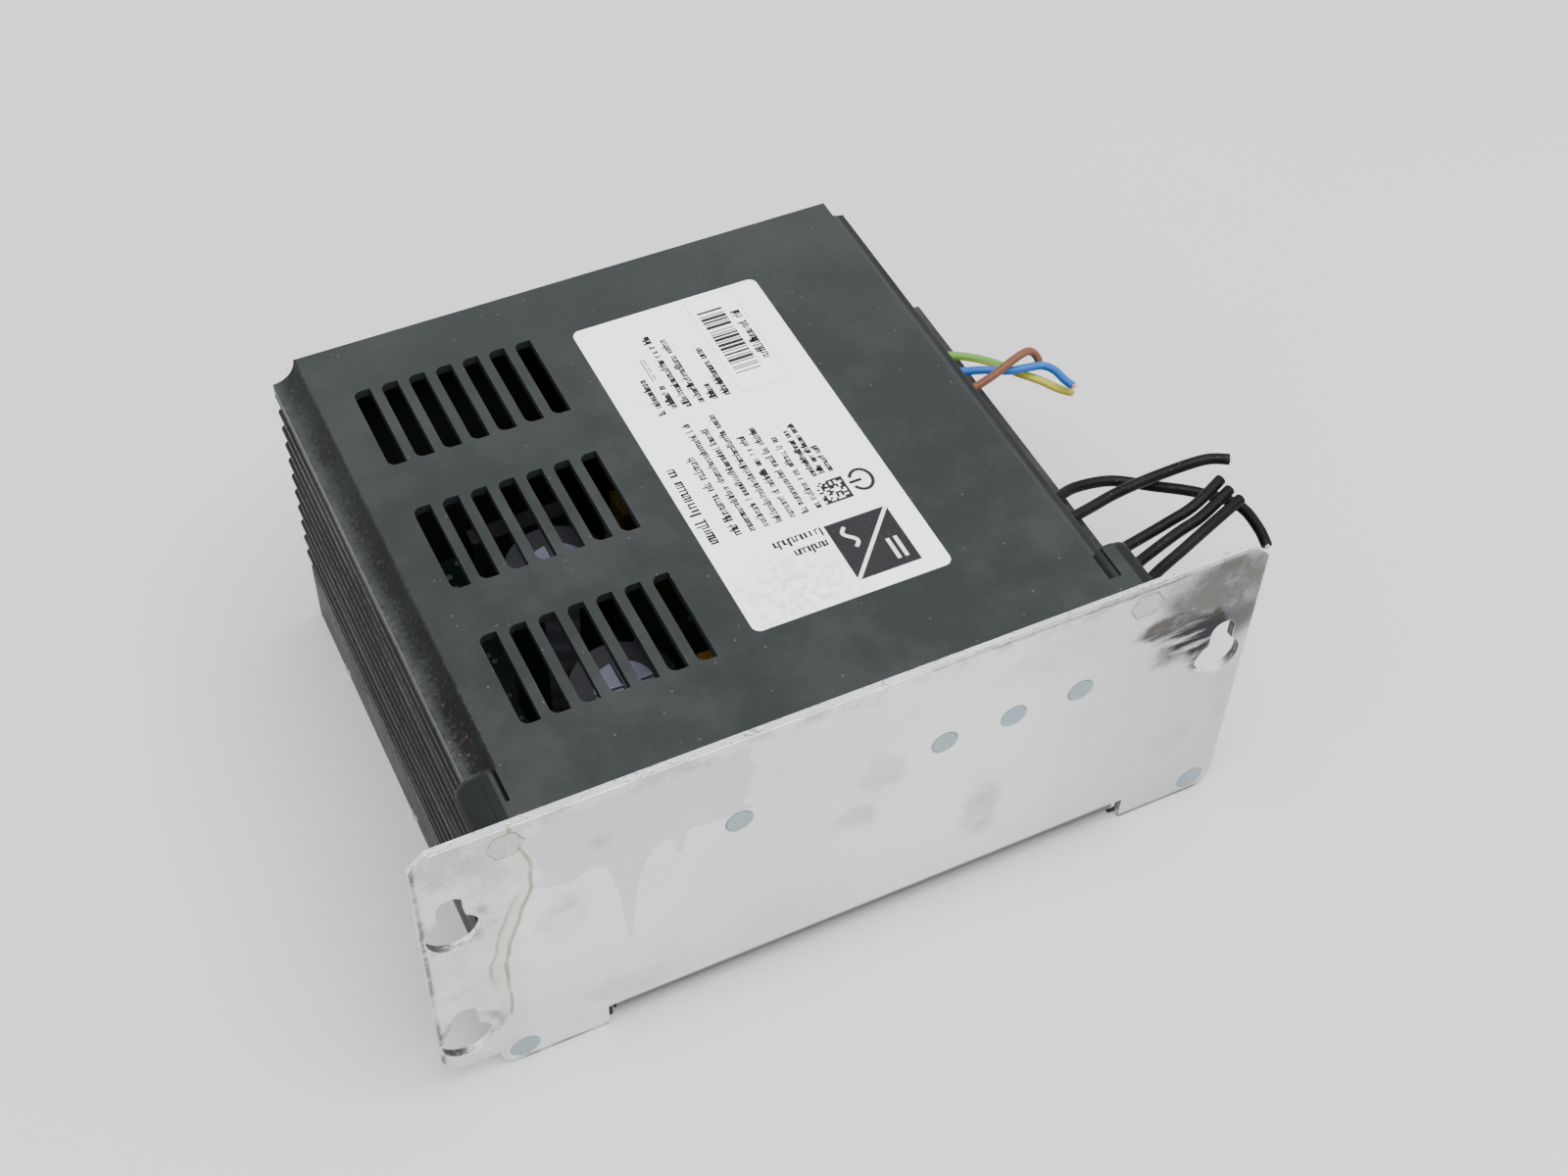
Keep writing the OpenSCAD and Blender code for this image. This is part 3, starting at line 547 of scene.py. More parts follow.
def makePlateMetal():
    # satin sheet with a dried film, drips, smears, grime at its left end and bright pitted edges
    look = plateFinish
    material, where = newMaterial("satinSheet", metal=1.0)
    x, y, z = axesOf(where)
    front = fade(y, -0.0712, -0.0716)
    cloud = noise(where, 16.0, 5.0, 0.6)
    mottle = noise(where, 160.0, 4.0, 0.65)
    wander = minus(noise(where, 110.0, 3.0), 0.5)
    base = blendOf(fade(cloud, 0.3, 0.7), *look["metal"])
    matt = fade(cloud, 0.3, 0.7, 0.30, 0.40)

    def patch(part, px, pz, rx, rz, ragged, detail, softness):
        # the inside, or the rim, of one ragged oval on the front
        return useGroup(stain, where, (px * mm, -0.072, pz * mm), (rx * mm, 0.05, rz * mm), ragged,
                        detail, softness)[part]

    def ovals(rows, detail, softness):
        # the strongest of several ragged ovals
        whole = None
        for *oval, strong in rows:
            one = times(patch("Mask", *oval, detail, softness), strong)
            whole = one if whole is None else most(whole, one)
        return times(whole, front)

    # the dried film: each drip is a pointed fall in its lower border
    border = calc("MULTIPLY_ADD", wander, 0.007, look["filmFoot"] * mm)
    for px, deep, wide in look["drips"]:
        off = calc("POWER", calc("DIVIDE", unsigned(minus(x, px * mm)), wide * mm), 2.2)
        border = minus(border, times(calc("EXPONENT", times(off, -1.0)), deep * mm))
    crest, top = calc("MULTIPLY_ADD", wander, 0.016, z), look["filmTop"] * mm
    ends = calc("MULTIPLY_ADD", wander, 0.014, x)
    films = times(fade(minus(z, border), -0.0002, 0.0004), fade(crest, top + 0.001, top, 0.35, 1.0),
                  fade(ends, -0.077, -0.074), fade(ends, -0.0262, -0.0272), front)
    base = paint(base, look["film"], films, 0.46)
    matt = plus(matt, times(films, 0.14))
    rubbed = times(ovals(look["smears"], 130.0, 0.4), fade(mottle, 0.34, 0.66, 0.25, 1.0))
    base = paint(base, look["smear"], rubbed, 0.5)
    matt = plus(matt, times(rubbed, 0.12))
    # grime gathers at the left end, most of all above the upper keyhole, and under the top edge
    leftEnd = times(fade(ends, -0.076, -0.086), fade(z, 0.060, 0.078, 0.55, 1.0))
    topBand = times(fade(z, 0.082, 0.087), fade(mottle, 0.40, 0.60, 0.0, 0.8))
    grime = times(most(leftEnd, topBand), front, fade(mottle, 0.30, 0.62, 0.30, 1.0))
    base = paint(base, look["grime"], grime, 0.75)
    # hazier towards the right end
    base = paint(base, look["haze"], fade(x, 0.030, 0.095), front, 0.8)
    matt = plus(matt, times(grime, 0.12))
    # the smear round the right keyhole: mottled above, drawn out into streaks below
    drawn = place("Mapping", {"Vector": where, "Rotation": (0, -0.35, 0), "Scale": (50.0, 50.0, 300.0)})
    streaky = noise(drawn.outputs[0], 1.0, 5.0, 0.6)
    lower = fade(z, 0.073, 0.067)
    upper = minus(1.0, lower)
    patched = plus(times(fade(streaky, 0.33, 0.50, 0.15, 1.0), lower),
                   times(fade(mottle, 0.30, 0.60, 0.66, 1.0), upper))
    soots = times(ovals(look["soots"], 150.0, 0.35), patched, clamp=True)
    tinged = blendOf(times(fade(mottle, 0.40, 0.62), upper), look["black"], look["brown"])
    base = paint(base, tinged, soots)
    matt = plus(matt, times(soots, 0.25))
    # painted shade as a thin dark line round each pressed-in and hex head, and looser dirt round the keyholes
    for px, pz, radius in look["headShadeRings"]:
        ring = patch("Rim", px, pz, radius, radius, 0.04, 300.0, 0.13)
        base = paint(base, look["ring"], ring, front, 0.8)
    for px, pz, flat in look["hexShadeRings"]:
        dx, dz = unsigned(minus(x, px * mm)), unsigned(minus(z, pz * mm))
        slope = calc("MULTIPLY_ADD", dx, math.sin(math.pi / 3), times(dz, 0.5))
        far = unsigned(minus(most(dz, slope), flat * mm))
        ring = times(fade(far, 0.0004, 0.0001), fade(mottle, 0.35, 0.55, 0.5, 1.0))
        base = paint(base, look["ring"], ring, front, 0.8)
    for px, pz, radius in look["holes"]:
        ring = patch("Rim", px, pz, radius, radius, 0.5, 200.0, 0.35)
        base = paint(base, look["holeDirt"], ring, front, fade(mottle, 0.42, 0.62), 0.6)
    # a dried line falls between the left keyholes and the wall behind, with a second beside it
    sway = times(minus(noise(where, 55.0, 2.0), 0.5), 0.006)
    route = plus(fade(z, 0.041, 0.071, -0.0834, -0.0755), fade(z, 0.073, 0.087, 0.0, -0.0035))
    route = plus(route, sway)
    lineX = minus(x, route)
    trail = times(fade(unsigned(lineX), 0.0008, 0.0002), fade(z, 0.019, 0.022))
    beside = times(fade(unsigned(plus(lineX, 0.0030)), 0.0007, 0.0001), fade(z, 0.030, 0.040),
                   fade(z, 0.068, 0.062), 0.7)
    trail = times(most(trail, beside), front, fade(mottle, 0.3, 0.55, 0.45, 1.0))
    base = paint(base, look["wash"], fade(lineX, 0.0005, -0.001), fade(lineX, -0.0036, -0.0026), front,
                 fade(z, 0.019, 0.026), 0.35)
    base = paint(base, look["dried"], trail, 0.75)
    # darker along the left and lower edges
    border = most(fade(x, -0.0986, -0.0996), fade(z, 0.0016, 0.0006))
    base = paint(base, look["edgeDark"], border, front, fade(mottle, 0.36, 0.56, 0.25, 1.0), 0.85)
    matt = plus(matt, times(trail, 0.25), clamp=True)
    marks = useGroup(scratches, where, 0.5, 0.012, 0.8)
    cross = useGroup(scratches, where, -0.25, 0.03, 0.7)
    base = paint(base, look["mark"], most(marks["Mask"], cross["Mask"]), 0.55)
    # sheared edges are brighter and pitted
    rim = fade(unsigned(axesOf(facing())[1]), 0.6, 0.2)
    pits = noise(where, 850.0, 3.0, 0.6)
    pitted = times(rim, fade(calc("MULTIPLY_ADD", mottle, 0.4, pits), 0.74, 0.84))
    base = paint(base, look["pit"], pitted, 0.6)
    rub = useGroup(edgeWear, where, 0.0007, 0.9)
    base = paint(base, look["rubbed"], rub["Mask"])
    # between the feet the folded lower edge gets painted shade
    base = paint(base, look["fold"], fade(z, 0.0082, 0.0070), fade(x, -0.0600, -0.0594),
                 fade(x, 0.0716, 0.0710), 0.92)
    height = minus(plus(times(mottle, 0.35), times(marks["Hairline"], 0.10)), times(pitted, 1.6))
    feed(colour=base, rough=matt, normal=relief(height, 0.00004))
    return material


trayFinish = {"slate": (0.0115, 0.0125, 0.0125), "grain": (0.0005, 0.00003), "brown": (0.036, 0.030, 0.025),
              "roughness": 0.5, "dust": 0.30, "wear": 0.3}


def makeTrayPlastic():
    # darker plastic; brown dust clings to the outside of both long walls and to the rims
    look = trayFinish
    material, where, base = mouldedPlastic("trayPlastic", look["slate"], *look["grain"], look["roughness"],
                                           look["dust"], look["wear"])[:3]
    x, y = axesOf(where)[:2]
    grit = noise(where, 700.0, 4.0, 0.7)
    cloud = noise(where, 30.0, 3.0)
    right = times(fade(x, 0.086, 0.094), fade(y, -0.02, 0.06, 0.2, 1.0))
    feed(colour=paint(base, look["brown"], most(fade(x, -0.0810, -0.0835), right), fade(grit, 0.36, 0.62),
                      fade(cloud, 0.3, 0.65, 0.3, 1.0), 0.8))
    return material


setMaterial(makeHoodPlastic(), hoodPiece)
setMaterial(makePlateMetal(), platePiece)
setMaterial(makeTrayPlastic(), trayPiece)
print("hood, plate and tray finished")

heatsinkFinish = {
    "black": (0.0045, 0.0040, 0.0040), "brown": (0.024, 0.0185, 0.0165), "worn": (0.080, 0.076, 0.072),
    "line": (0.046, 0.041, 0.039), "film": (0.036, 0.031, 0.028),
    "groove": 0.00110,        # metres from crest to crest
}


def makeAnodised():
    # black drawn metal: fine grooves run lengthwise, brown dust sits on them, the crests are rubbed
    look = heatsinkFinish
    material, where = newMaterial("dustyAnodised", metal=0.25, shine=0.16)
    x, _, z = axesOf(where)
    stretch = place("Mapping", {"Vector": where, "Scale": (260.0, 14.0, 700.0)}).outputs[0]
    drawn = noise(stretch, 1.0, 4.0, 0.65)
    wave = calc("SINE", times(z, 2 * math.pi / look["groove"]))
    grit = noise(where, 620.0, 5.0, 0.75)
    cloud = noise(where, 46.0, 4.0)
    dusty = times(fade(grit, 0.40, 0.66), fade(cloud, 0.3, 0.68, 0.35, 1.0))
    base = blendOf(dusty, look["black"], look["brown"])
    base = paint(base, look["line"], fade(wave, 0.2, 0.95), fade(drawn, 0.40, 0.62), 0.5)
    base = paint(base, look["worn"], fade(unsigned(x), 0.0812, 0.0820), fade(drawn, 0.52, 0.66), 0.55)
    film = useGroup(dustFilm, where, 0.6, 0.0004)
    base = paint(base, look["film"], film["Film"], 0.4)
    height = plus(plus(times(wave, 0.4), times(drawn, 1.1)), times(grit, 0.6))
    feed(colour=base, rough=fade(dusty, 0.0, 1.0, 0.42, 0.8), normal=relief(height, 0.0001))
    return material


setMaterial(makeAnodised(), "heatsink")


def plainMetal(name, colour, rough, marks, dust, grainSize=0.0004):
    # machined or plated metal: mottled plating, hairlines, dirt in patches, rubbed edges
    material, where = newMaterial(name, metal=1.0)
    grain = useGroup(fineGrain, where, grainSize)["Height"]
    hair = useGroup(scratches, where, 0.8, 0.003, marks)
    film = useGroup(dustFilm, where, dust, 0.0004)["Film"]
    rub = useGroup(edgeWear, where, 0.0003, 0.6)
    base = blendOf(fade(grain, 0.3, 0.7), tone(colour, 0.72), colour)
    base = paint(paint(base, (0.30, 0.27, 0.22), film), tone(colour, 1.35), rub["Mask"])
    matt = plus(fade(grain, 0.3, 0.7, rough - 0.07, rough + 0.08), times(film, 0.3), clamp=True)
    height = plus(grain, times(hair["Mask"], -1.0))
    feed(colour=base, rough=matt, normal=relief(height, 0.00002))
    return material


def startingWith(word):
    return [name for name in nodes if name.startswith(word)]


metalLook = {
    # colour, roughness, hairlines, dust, grain size in metres, and the nodes made of it
    "blueZinc": ((0.36, 0.455, 0.49), 0.44, 0.5, 0.3, 0.0008, ["plate_studs", "corner_studs"]),
    "silverZinc": ((0.58, 0.60, 0.58), 0.36, 0.6, 0.4, 0.0008, ["hex_standoffs"]),
    "nickelScrews": ((0.62, 0.61, 0.58), 0.30, 0.6, 0.3, 0.0004, [
        "stud_nuts", "hood_screws", "heatsink_screws", "board_screws", *startingWith("clamp_screw")]),
    "tinnedBrass": ((0.72, 0.64, 0.46), 0.34, 0.3, 0.3, 0.0004, [
        "fuse_clips", "terminal_tongues", *startingWith("clamp_cage")]),
    "bareCopper": ((0.80, 0.42, 0.27), 0.36, 0.3, 0.3, 0.0004, ["link_bars"]),
}
for name, (*look, wearers) in metalLook.items():
    setMaterial(plainMetal(name, *look), *wearers)
print("metals finished")


def windingMaterial(name, colour, rounds, centre):
    # enamelled wire: rounds of wire stand side by side round the core's middle
    material, where = newMaterial(name, metal=0.85)
    x, y = axesOf(vector("SUBTRACT", where, centre)[0])[:2]
    wave = unsigned(calc("SINE", times(calc("ARCTAN2", y, x), rounds)))
    # the narrow dark lines between the rounds are painted shade
    feed(colour=blendOf(fade(wave, 0.0, 0.55), tone(colour, 0.12), colour),
         rough=fade(wave, 0.0, 1.0, 0.55, 0.25), normal=relief(wave, 0.0004))
    return material


windingLook = {
    # material, colour, rounds of wire, and the core's middle in metres
    "choke_windings": ("enamelGold", (0.72, 0.36, 0.12), 34.0, (0.042, 0.0405, 0.0)),
    "output_inductor": ("enamelRed", (0.58, 0.20, 0.10), 28.0, (0.052, -0.0144, 0.0)),
}
for name, look in windingLook.items():
    setMaterial(windingMaterial(*look), name)


def makeLaminate():
    # green board: copper tracks under the mask run in both directions, pads show bright
    material, where = newMaterial("boardLaminate", shine=0.3)
    cells = place("Mapping", {"Vector": where, "Scale": (340.0, 340.0, 0.0)}).outputs[0]
    brick = place("TexBrick", {"Vector": cells, "Scale": 0.6, "Mortar Size": 0.16, "Mortar Smooth": 0.2,
                               "Color1": shade((0.004, 0.024, 0.013)), "Color2": shade((0.006, 0.034, 0.017)),
                               "Mortar": shade((0.003, 0.016, 0.009))})
    holes = place("TexVoronoi", {"Vector": cells, "Scale": 0.75, "Randomness": 0.55}).outputs
    pad = times(fade(holes["Distance"], 0.26, 0.21), calc("GREATER_THAN", axesOf(holes["Color"])[0], 0.62))
    base = blendOf(times(pad, 0.85), brick.outputs["Color"], (0.13, 0.13, 0.115))
    film = useGroup(dustFilm, where, 0.5, 0.0004)
    base = paint(base, (0.07, 0.066, 0.055), film["Film"], 0.5)
    feed(colour=base, normal=relief(plus(pad, brick.outputs["Fac"]), 0.00006),
         rough=plus(0.32, times(film["Film"], 0.5)))
    return material


setMaterial(makeLaminate(), "main_board", "connection_board")


def canMaterial(name, sleeve, stripe, bare, centres, radius):
    # capacitor cans: a shrunk sleeve with a pale stripe and a bare top scored with a cross
    material, where = newMaterial(name)
    x, y, z = axesOf(where)
    level, near = place("CombineXYZ", {0: x, 1: y}).outputs[0], None
    for cx, cy in centres:
        away = vector("SUBTRACT", level, (cx * mm, cy * mm, 0))[0]
        inside = calc("LESS_THAN", vector("LENGTH", away)["Value"], (radius + 1.2) * mm)
        one = place("VectorMath", {0: away, "Scale": inside}, operation="SCALE").outputs[0]
        near = one if near is None else vector("ADD", near, one)[0]
    dx, dy = axesOf(near)[:2]
    top = times(fade(axesOf(facing())[2], 0.6, 0.8),
                calc("LESS_THAN", vector("LENGTH", near)["Value"], radius * 0.56 * mm))
    score = calc("MINIMUM", unsigned(dx), unsigned(dy))
    groove = times(top, fade(score, 0.0006, 0.0002))
    dash = calc("GREATER_THAN", calc("FRACT", times(z, 140.0)), 0.42)
    striped = times(fade(unsigned(minus(calc("ARCTAN2", dy, dx), -1.9)), 0.34, 0.32),
                    minus(1.0, times(dash, 0.35)))
    grain = useGroup(fineGrain, where, 0.0008)
    skin = blendOf(grain["Cloud"], tone(sleeve, 0.8), sleeve)
    base = paint(paint(paint(skin, stripe, striped), bare, top), (0.10, 0.10, 0.12), groove)
    film = useGroup(dustFilm, where, 0.4, 0.0005)
    base = paint(base, (0.12, 0.11, 0.10), film["Film"], 0.35)
    height = minus(times(grain["Height"], 0.1), groove)
    feed(colour=base, metal=times(top, 0.9), normal=relief(height, 0.0003),
         rough=fade(top, 0.0, 1.0, 0.30, 0.36))
    return material


# the bulk cans' bare tops are a darker lilac, painted shade for the dim inside of the hood
setMaterial(canMaterial("bulkSleeve", (0.012, 0.013, 0.018), (0.16, 0.155, 0.19), (0.30, 0.29, 0.38),
                        [(-36, 12), (-36, -27)], 12.5), "bulk_capacitors")
setMaterial(canMaterial("smallSleeve", (0.05, 0.026, 0.016), (0.50, 0.44, 0.28), (0.66, 0.66, 0.66),
                        [(42, -52), (42, -37), (56, -53.5), (56, -38.5)], 6.2), "output_capacitors")


def layeredTape():
    # amber tape round the coil, its overlaps level lines, with a slight sheen
    material, where = newMaterial("amberTape", bend=1.5, coating=0.3)
    z = axesOf(where)[2]
    lap = calc("FRACT", times(z, 160.0))
    grain = useGroup(fineGrain, where, 0.0015)
    base = blendOf(grain["Cloud"], (0.34, 0.19, 0.03), (0.52, 0.32, 0.06))
    base = paint(base, (0.20, 0.10, 0.02), fade(lap, 0.92, 1.0))
    feed(colour=base, rough=fade(grain["Height"], 0.3, 0.7, 0.24, 0.40),
         normal=relief(plus(lap, grain["Height"]), 0.00012))
    return material


setMaterial(layeredTape(), "transformer_coil")


partLook = {
    # colour, grain size and depth in metres, roughness, dust, and the nodes made of it
    "ferriteGrey": ((0.05, 0.05, 0.052), 0.0006, 0.00006, 0.62, 0.3, ["transformer_core", "choke_core"]),
    "blackEpoxy": ((0.018, 0.018, 0.019), 0.0003, 0.00003, 0.48, 0.3, [
        "bridge_rectifier", "power_devices", "control_chips"]),
    # the yellow boxes are a dull, dark amber: dust, and painted shade for the dim inside of the hood
    "yellowBox": ((0.20, 0.13, 0.022), 0.0005, 0.00002, 0.36, 0.3, ["interference_capacitors"]),
    "fuseCeramic": ((0.72, 0.70, 0.64), 0.0008, 0.00002, 0.30, 0.3, ["fuse"]),
    "terminalPlastic": ((0.035, 0.062, 0.048), 0.0004, 0.00002, 0.42, 0.4, [
        "mains_terminal_block", "output_terminal_block_a", "output_terminal_block_b"]),
    "trimmerBlue": ((0.02, 0.10, 0.36), 0.0003, 0.00002, 0.36, 0.3, ["trimmer_body"]),
    "trimmerWhite": ((0.74, 0.73, 0.68), 0.0003, 0.00002, 0.40, 0.3, ["trimmer_rotor"]),
    "padFilm": ((0.42, 0.42, 0.46), 0.0006, 0.00003, 0.55, 0.3, ["device_pads"]),
}
for name, (*look, wearers) in partLook.items():
    setMaterial(mouldedPlastic(name, *look, wear=0.3)[0], *wearers)
print("inner parts finished")


def insulation(name, colour, shine, second=None, share=0.0):
    # soft cable skin with a slight sheen; a second colour runs along it as a slow spiral stripe
    material, where = newMaterial(name, bend=1.5, shine=shine)
    u, v = axesOf(place("UVMap", uv_map="along").outputs[0])[:2]
    grain = useGroup(fineGrain, where, 0.0007)
    film = useGroup(dustFilm, where, 0.45, 0.00035)
    base = blendOf(grain["Cloud"], tone(colour, 0.75), colour)
    if second:
        lap = calc("FRACT", calc("MULTIPLY_ADD", v, -12.0, plus(u, 1.94)))
        base = paint(base, second, fade(unsigned(minus(lap, 0.5)), share / 2 + 0.012, share / 2 - 0.012))
    base = paint(base, (0.24, 0.22, 0.20), film["Film"], 0.07)
    base = paint(base, (0.25, 0.24, 0.22), film["Specks"], 0.35)
    feedGrained(base, grain["Height"], 0.34, 0.50, 0.00004)
    return material


insulationLook = {
    # colour, shine, and the stripe's colour and share of the girth
    "black": ((0.0020, 0.0022, 0.0021), 0.10), "blue": ((0.016, 0.115, 0.42), 0.2),
    "brown": ((0.17, 0.066, 0.034), 0.2),
    "green_yellow": ((0.115, 0.30, 0.045), 0.2, (0.50, 0.44, 0.055), 0.46),
}
skins = {key: insulation("skin_" + key, *look) for key, look in insulationLook.items()}
copperStrand = plainMetal("copperStrand", (0.82, 0.46, 0.30), 0.30, 0.0, 0.1, 0.0002)
tinnedStrand = plainMetal("tinnedStrand", (0.74, 0.73, 0.70), 0.30, 0.0, 0.1, 0.0002)
for wireName, cord in cords.items():
    setMaterial(skins["black" if "black" in wireName else wireName], cord)
    setMaterial(tinnedStrand if "black" in wireName else copperStrand, strandPieces[wireName])
print("wires finished")


def makeLabelFilm():
    # off-white film, rubbed dirty towards its lower end
    material, where = newMaterial("labelFilm", bend=1.48)
    grain = useGroup(fineGrain, where, 0.0012)
    base = blendOf(grain["Cloud"], (0.87, 0.88, 0.865), (0.93, 0.935, 0.92))
    rub = useGroup(stain, where, (-0.001, -0.041, 0.0885), (0.013, 0.010, 0.02), 0.9, 160.0, 0.6)["Mask"]
    streak = useGroup(scratches, where, 0.0, 0.01, 0.7)
    base = paint(base, (0.40, 0.37, 0.30), rub, fade(noise(where, 520.0, 4.0, 0.7), 0.42, 0.62), 0.5)
    base = paint(base, (0.40, 0.38, 0.34), streak["Mask"], 0.4)
    film = useGroup(dustFilm, where, 0.3, 0.0005)
    base = paint(base, (0.50, 0.49, 0.45), film["Film"], 0.30)
    feedGrained(base, grain["Height"], 0.32, 0.48, 0.00002)
    return material


setMaterial(makeLabelFilm(), "rating_label")


def blockPiece(name, rects, low, high, material):
    # closed flat blocks: each row is a middle x, y and a size x, y, from low to high
    rects = np.asarray(rects, float)
    count = len(rects)
    corner = np.array([[-1, -1], [1, -1], [1, 1], [-1, 1]]) / 2
    flat = rects[:, None, :2] + corner[None] * rects[:, None, 2:4]
    flat = np.broadcast_to(flat[:, None], (count, 2, 4, 2))
    levels = np.broadcast_to(np.array([low, high])[None, :, None, None], (count, 2, 4, 1))
    points = np.concatenate([flat, levels], -1).reshape(-1, 3) * mm
    sides = np.array([[3, 2, 1, 0], [4, 5, 6, 7], [0, 1, 5, 4], [1, 2, 6, 5], [2, 3, 7, 6], [3, 0, 4, 7]])
    faces = (np.arange(count)[:, None, None] * 8 + sides[None]).reshape(-1, 4)
    mesh = bpy.data.meshes.new(name)
    mesh.from_pydata(points.tolist(), [], faces.tolist())
    dress(addPiece(name, mesh), material)


def greeked(start, length, height, weight, wordLength=6.5, pitch=1.0):
    # unreadable print: upright strokes of uneven height and gap, broken into words;
    # gives the distance along the line, the middle above its foot, the width and the height
    count = int(length / (height * 0.30)) + 4
    gaps = dice.choice([0.24, 0.30, 0.36], count) * height * pitch
    gaps = gaps + (dice.random(count) < 1 / (2 * wordLength)) * 0.55 * height
    along = start + np.cumsum(gaps)
    keep = along < start + length
    tall = dice.choice([0.66, 0.66, 0.70, 1.0], count) * height
    wide = dice.uniform(0.75, 1.5, count) * weight * height
    bars = np.stack([along, tall / 2, wide, tall], -1)[keep]
    # low and high ties between neighbouring strokes give the greyness of small print
    tied = bars[:-1][dice.random(len(bars) - 1) < 0.72]
    level = np.where(dice.random(len(tied)) < 0.5, 0.08, 0.58) * height
    ties = np.stack([tied[:, 0] + 0.15 * height, level, np.full(len(tied), 0.30 * height),
                     np.full(len(tied), weight * 0.8 * height)], -1)
    return np.concatenate([bars, ties])


def alongY(marks, foot):
    # a line that reads along +Y, its letters standing towards -X from the foot
    return np.stack([foot - marks[:, 1], marks[:, 0], marks[:, 3], marks[:, 2]], -1)


def alongX(marks, foot):
    # a line that reads along +X, its letters standing towards -Y from the foot
    return np.stack([marks[:, 0], foot - marks[:, 1], marks[:, 2], marks[:, 3]], -1)


labelPrint = {
    "low": 88.645, "high": 88.672,
    "title": (-10.2, -22.0, 25.5, 2.8),        # foot x, start y, length, height
    # foot of the first row, step to the next; where names and values start, and their letter heights
    "rows": -4.6, "pitch": 3.25, "namesFrom": -21.6, "valuesFrom": 19.2,
    "headHeight": 2.25, "nameHeight": 1.85, "valueHeight": 1.95,
    "names": [26.5, 36.5, 33.0, 37.0, 27.5, 29.0, 24.5], "values": [12.5, 9.5, 26.0, 23.5, 5.5, 17.5],
    "serials": [(18.2, 17.0), (20.2, 17.5), (22.2, 9.0)],        # foot and length
    "grid": (16.0, -21.2, 6.8, 12),        # corner, side and cells a side
    "bars": (15.6, 24.9, 6.4, 22.8),       # corner, height and length
}


def makeLabelPrint():
    look = labelPrint
    foot, *line = look["title"]
    marks = [alongY(greeked(*line, 0.17, 5, 1.1), foot)]
    feet = look["rows"] + look["pitch"] * np.arange(7)
    for row, length in enumerate(look["names"]):
        high = look["headHeight"] if row == 0 else look["nameHeight"]
        marks.append(alongY(greeked(look["namesFrom"], length, high, 0.19), feet[row]))
    for foot, length in zip(feet, look["values"]):
        marks.append(alongY(greeked(look["valuesFrom"], length, look["valueHeight"], 0.22), foot))
    # direct-current sign: a long line over three short ones
    foot = feet[1]
    marks.append([[foot - 1.7, 34.5, 0.26, 8.0], [foot - 0.9, 31.8, 0.26, 2.1],
                  [foot - 0.9, 34.5, 0.26, 2.1], [foot - 0.9, 37.2, 0.26, 2.1]])
    for foot, length in look["serials"]:
        marks.append(alongY(greeked(-12.4, length, 1.65, 0.24, 9), foot))
    # a square of random cells, with two solid sides
    gx, gy, side, count = look["grid"]
    cell = side / count
    row, column = np.divmod(np.arange(count * count), count)
    full = (dice.random(count * count) < 0.5) | (row == count - 1) | (column == 0)
    wide = np.full(row.shape, cell * 1.02)
    marks.append(np.stack([gx + (row + 0.5) * cell, gy + (column + 0.5) * cell, wide, wide], -1)[full])
    # two lines of small print beside the converter sign
    marks.append(alongX(greeked(-1.0, 13.0, 2.5, 0.18, 20, 1.35), -26.4))
    marks.append(alongX(greeked(2.5, 9.2, 2.5, 0.18, 20, 1.35), -30.2))
    return np.concatenate([np.asarray(m, float) for m in marks])


def inkMaterial(name, colour):
    # printed ink, slightly uneven and worn through in specks
    material, where = newMaterial(name, shine=0.2)
    grain = useGroup(fineGrain, where, 0.0003)
    base = blendOf(fade(grain["Height"], 0.58, 0.78), colour, tone(colour, 1.0, 0.05))
    feed(colour=base, rough=fade(grain["Height"], 0.3, 0.7, 0.40, 0.55))
    return material


ink, whiteInk = inkMaterial("blackInk", (0.011, 0.011, 0.012)), inkMaterial("whiteInk", (0.66, 0.67, 0.66))
blockPiece("label_print", makeLabelPrint(), labelPrint["low"], labelPrint["high"], ink)


def ribbon(path, width, low, high):
    # a flat band carried along a path in the plane: its section is a closed rectangle
    path = np.asarray(path, float)
    slope = np.gradient(path, axis=0)
    slope /= np.linalg.norm(slope, axis=1)[:, None]
    side = np.stack([-slope[:, 1], slope[:, 0]], -1) * width / 2
    edges = [(side, low), (side, high), (-side, high), (-side, low), (side, low)]
    grid = np.stack([np.concatenate([path + s, np.full((len(path), 1), z)], -1) for s, z in edges], 1)
    middle = np.concatenate([path, np.full((len(path), 1), (low + high) / 2)], -1)
    first, last = np.repeat(middle[:1, None], 5, 1), np.repeat(middle[-1:, None], 5, 1)
    return np.concatenate([first, grid, last]) * mm, None


signLook = {"box": (12.4, -43.8, 15.4, 17.2), "ring": (26.6, -17.2), "low": 88.645, "high": 88.680,
            "over": 88.700}


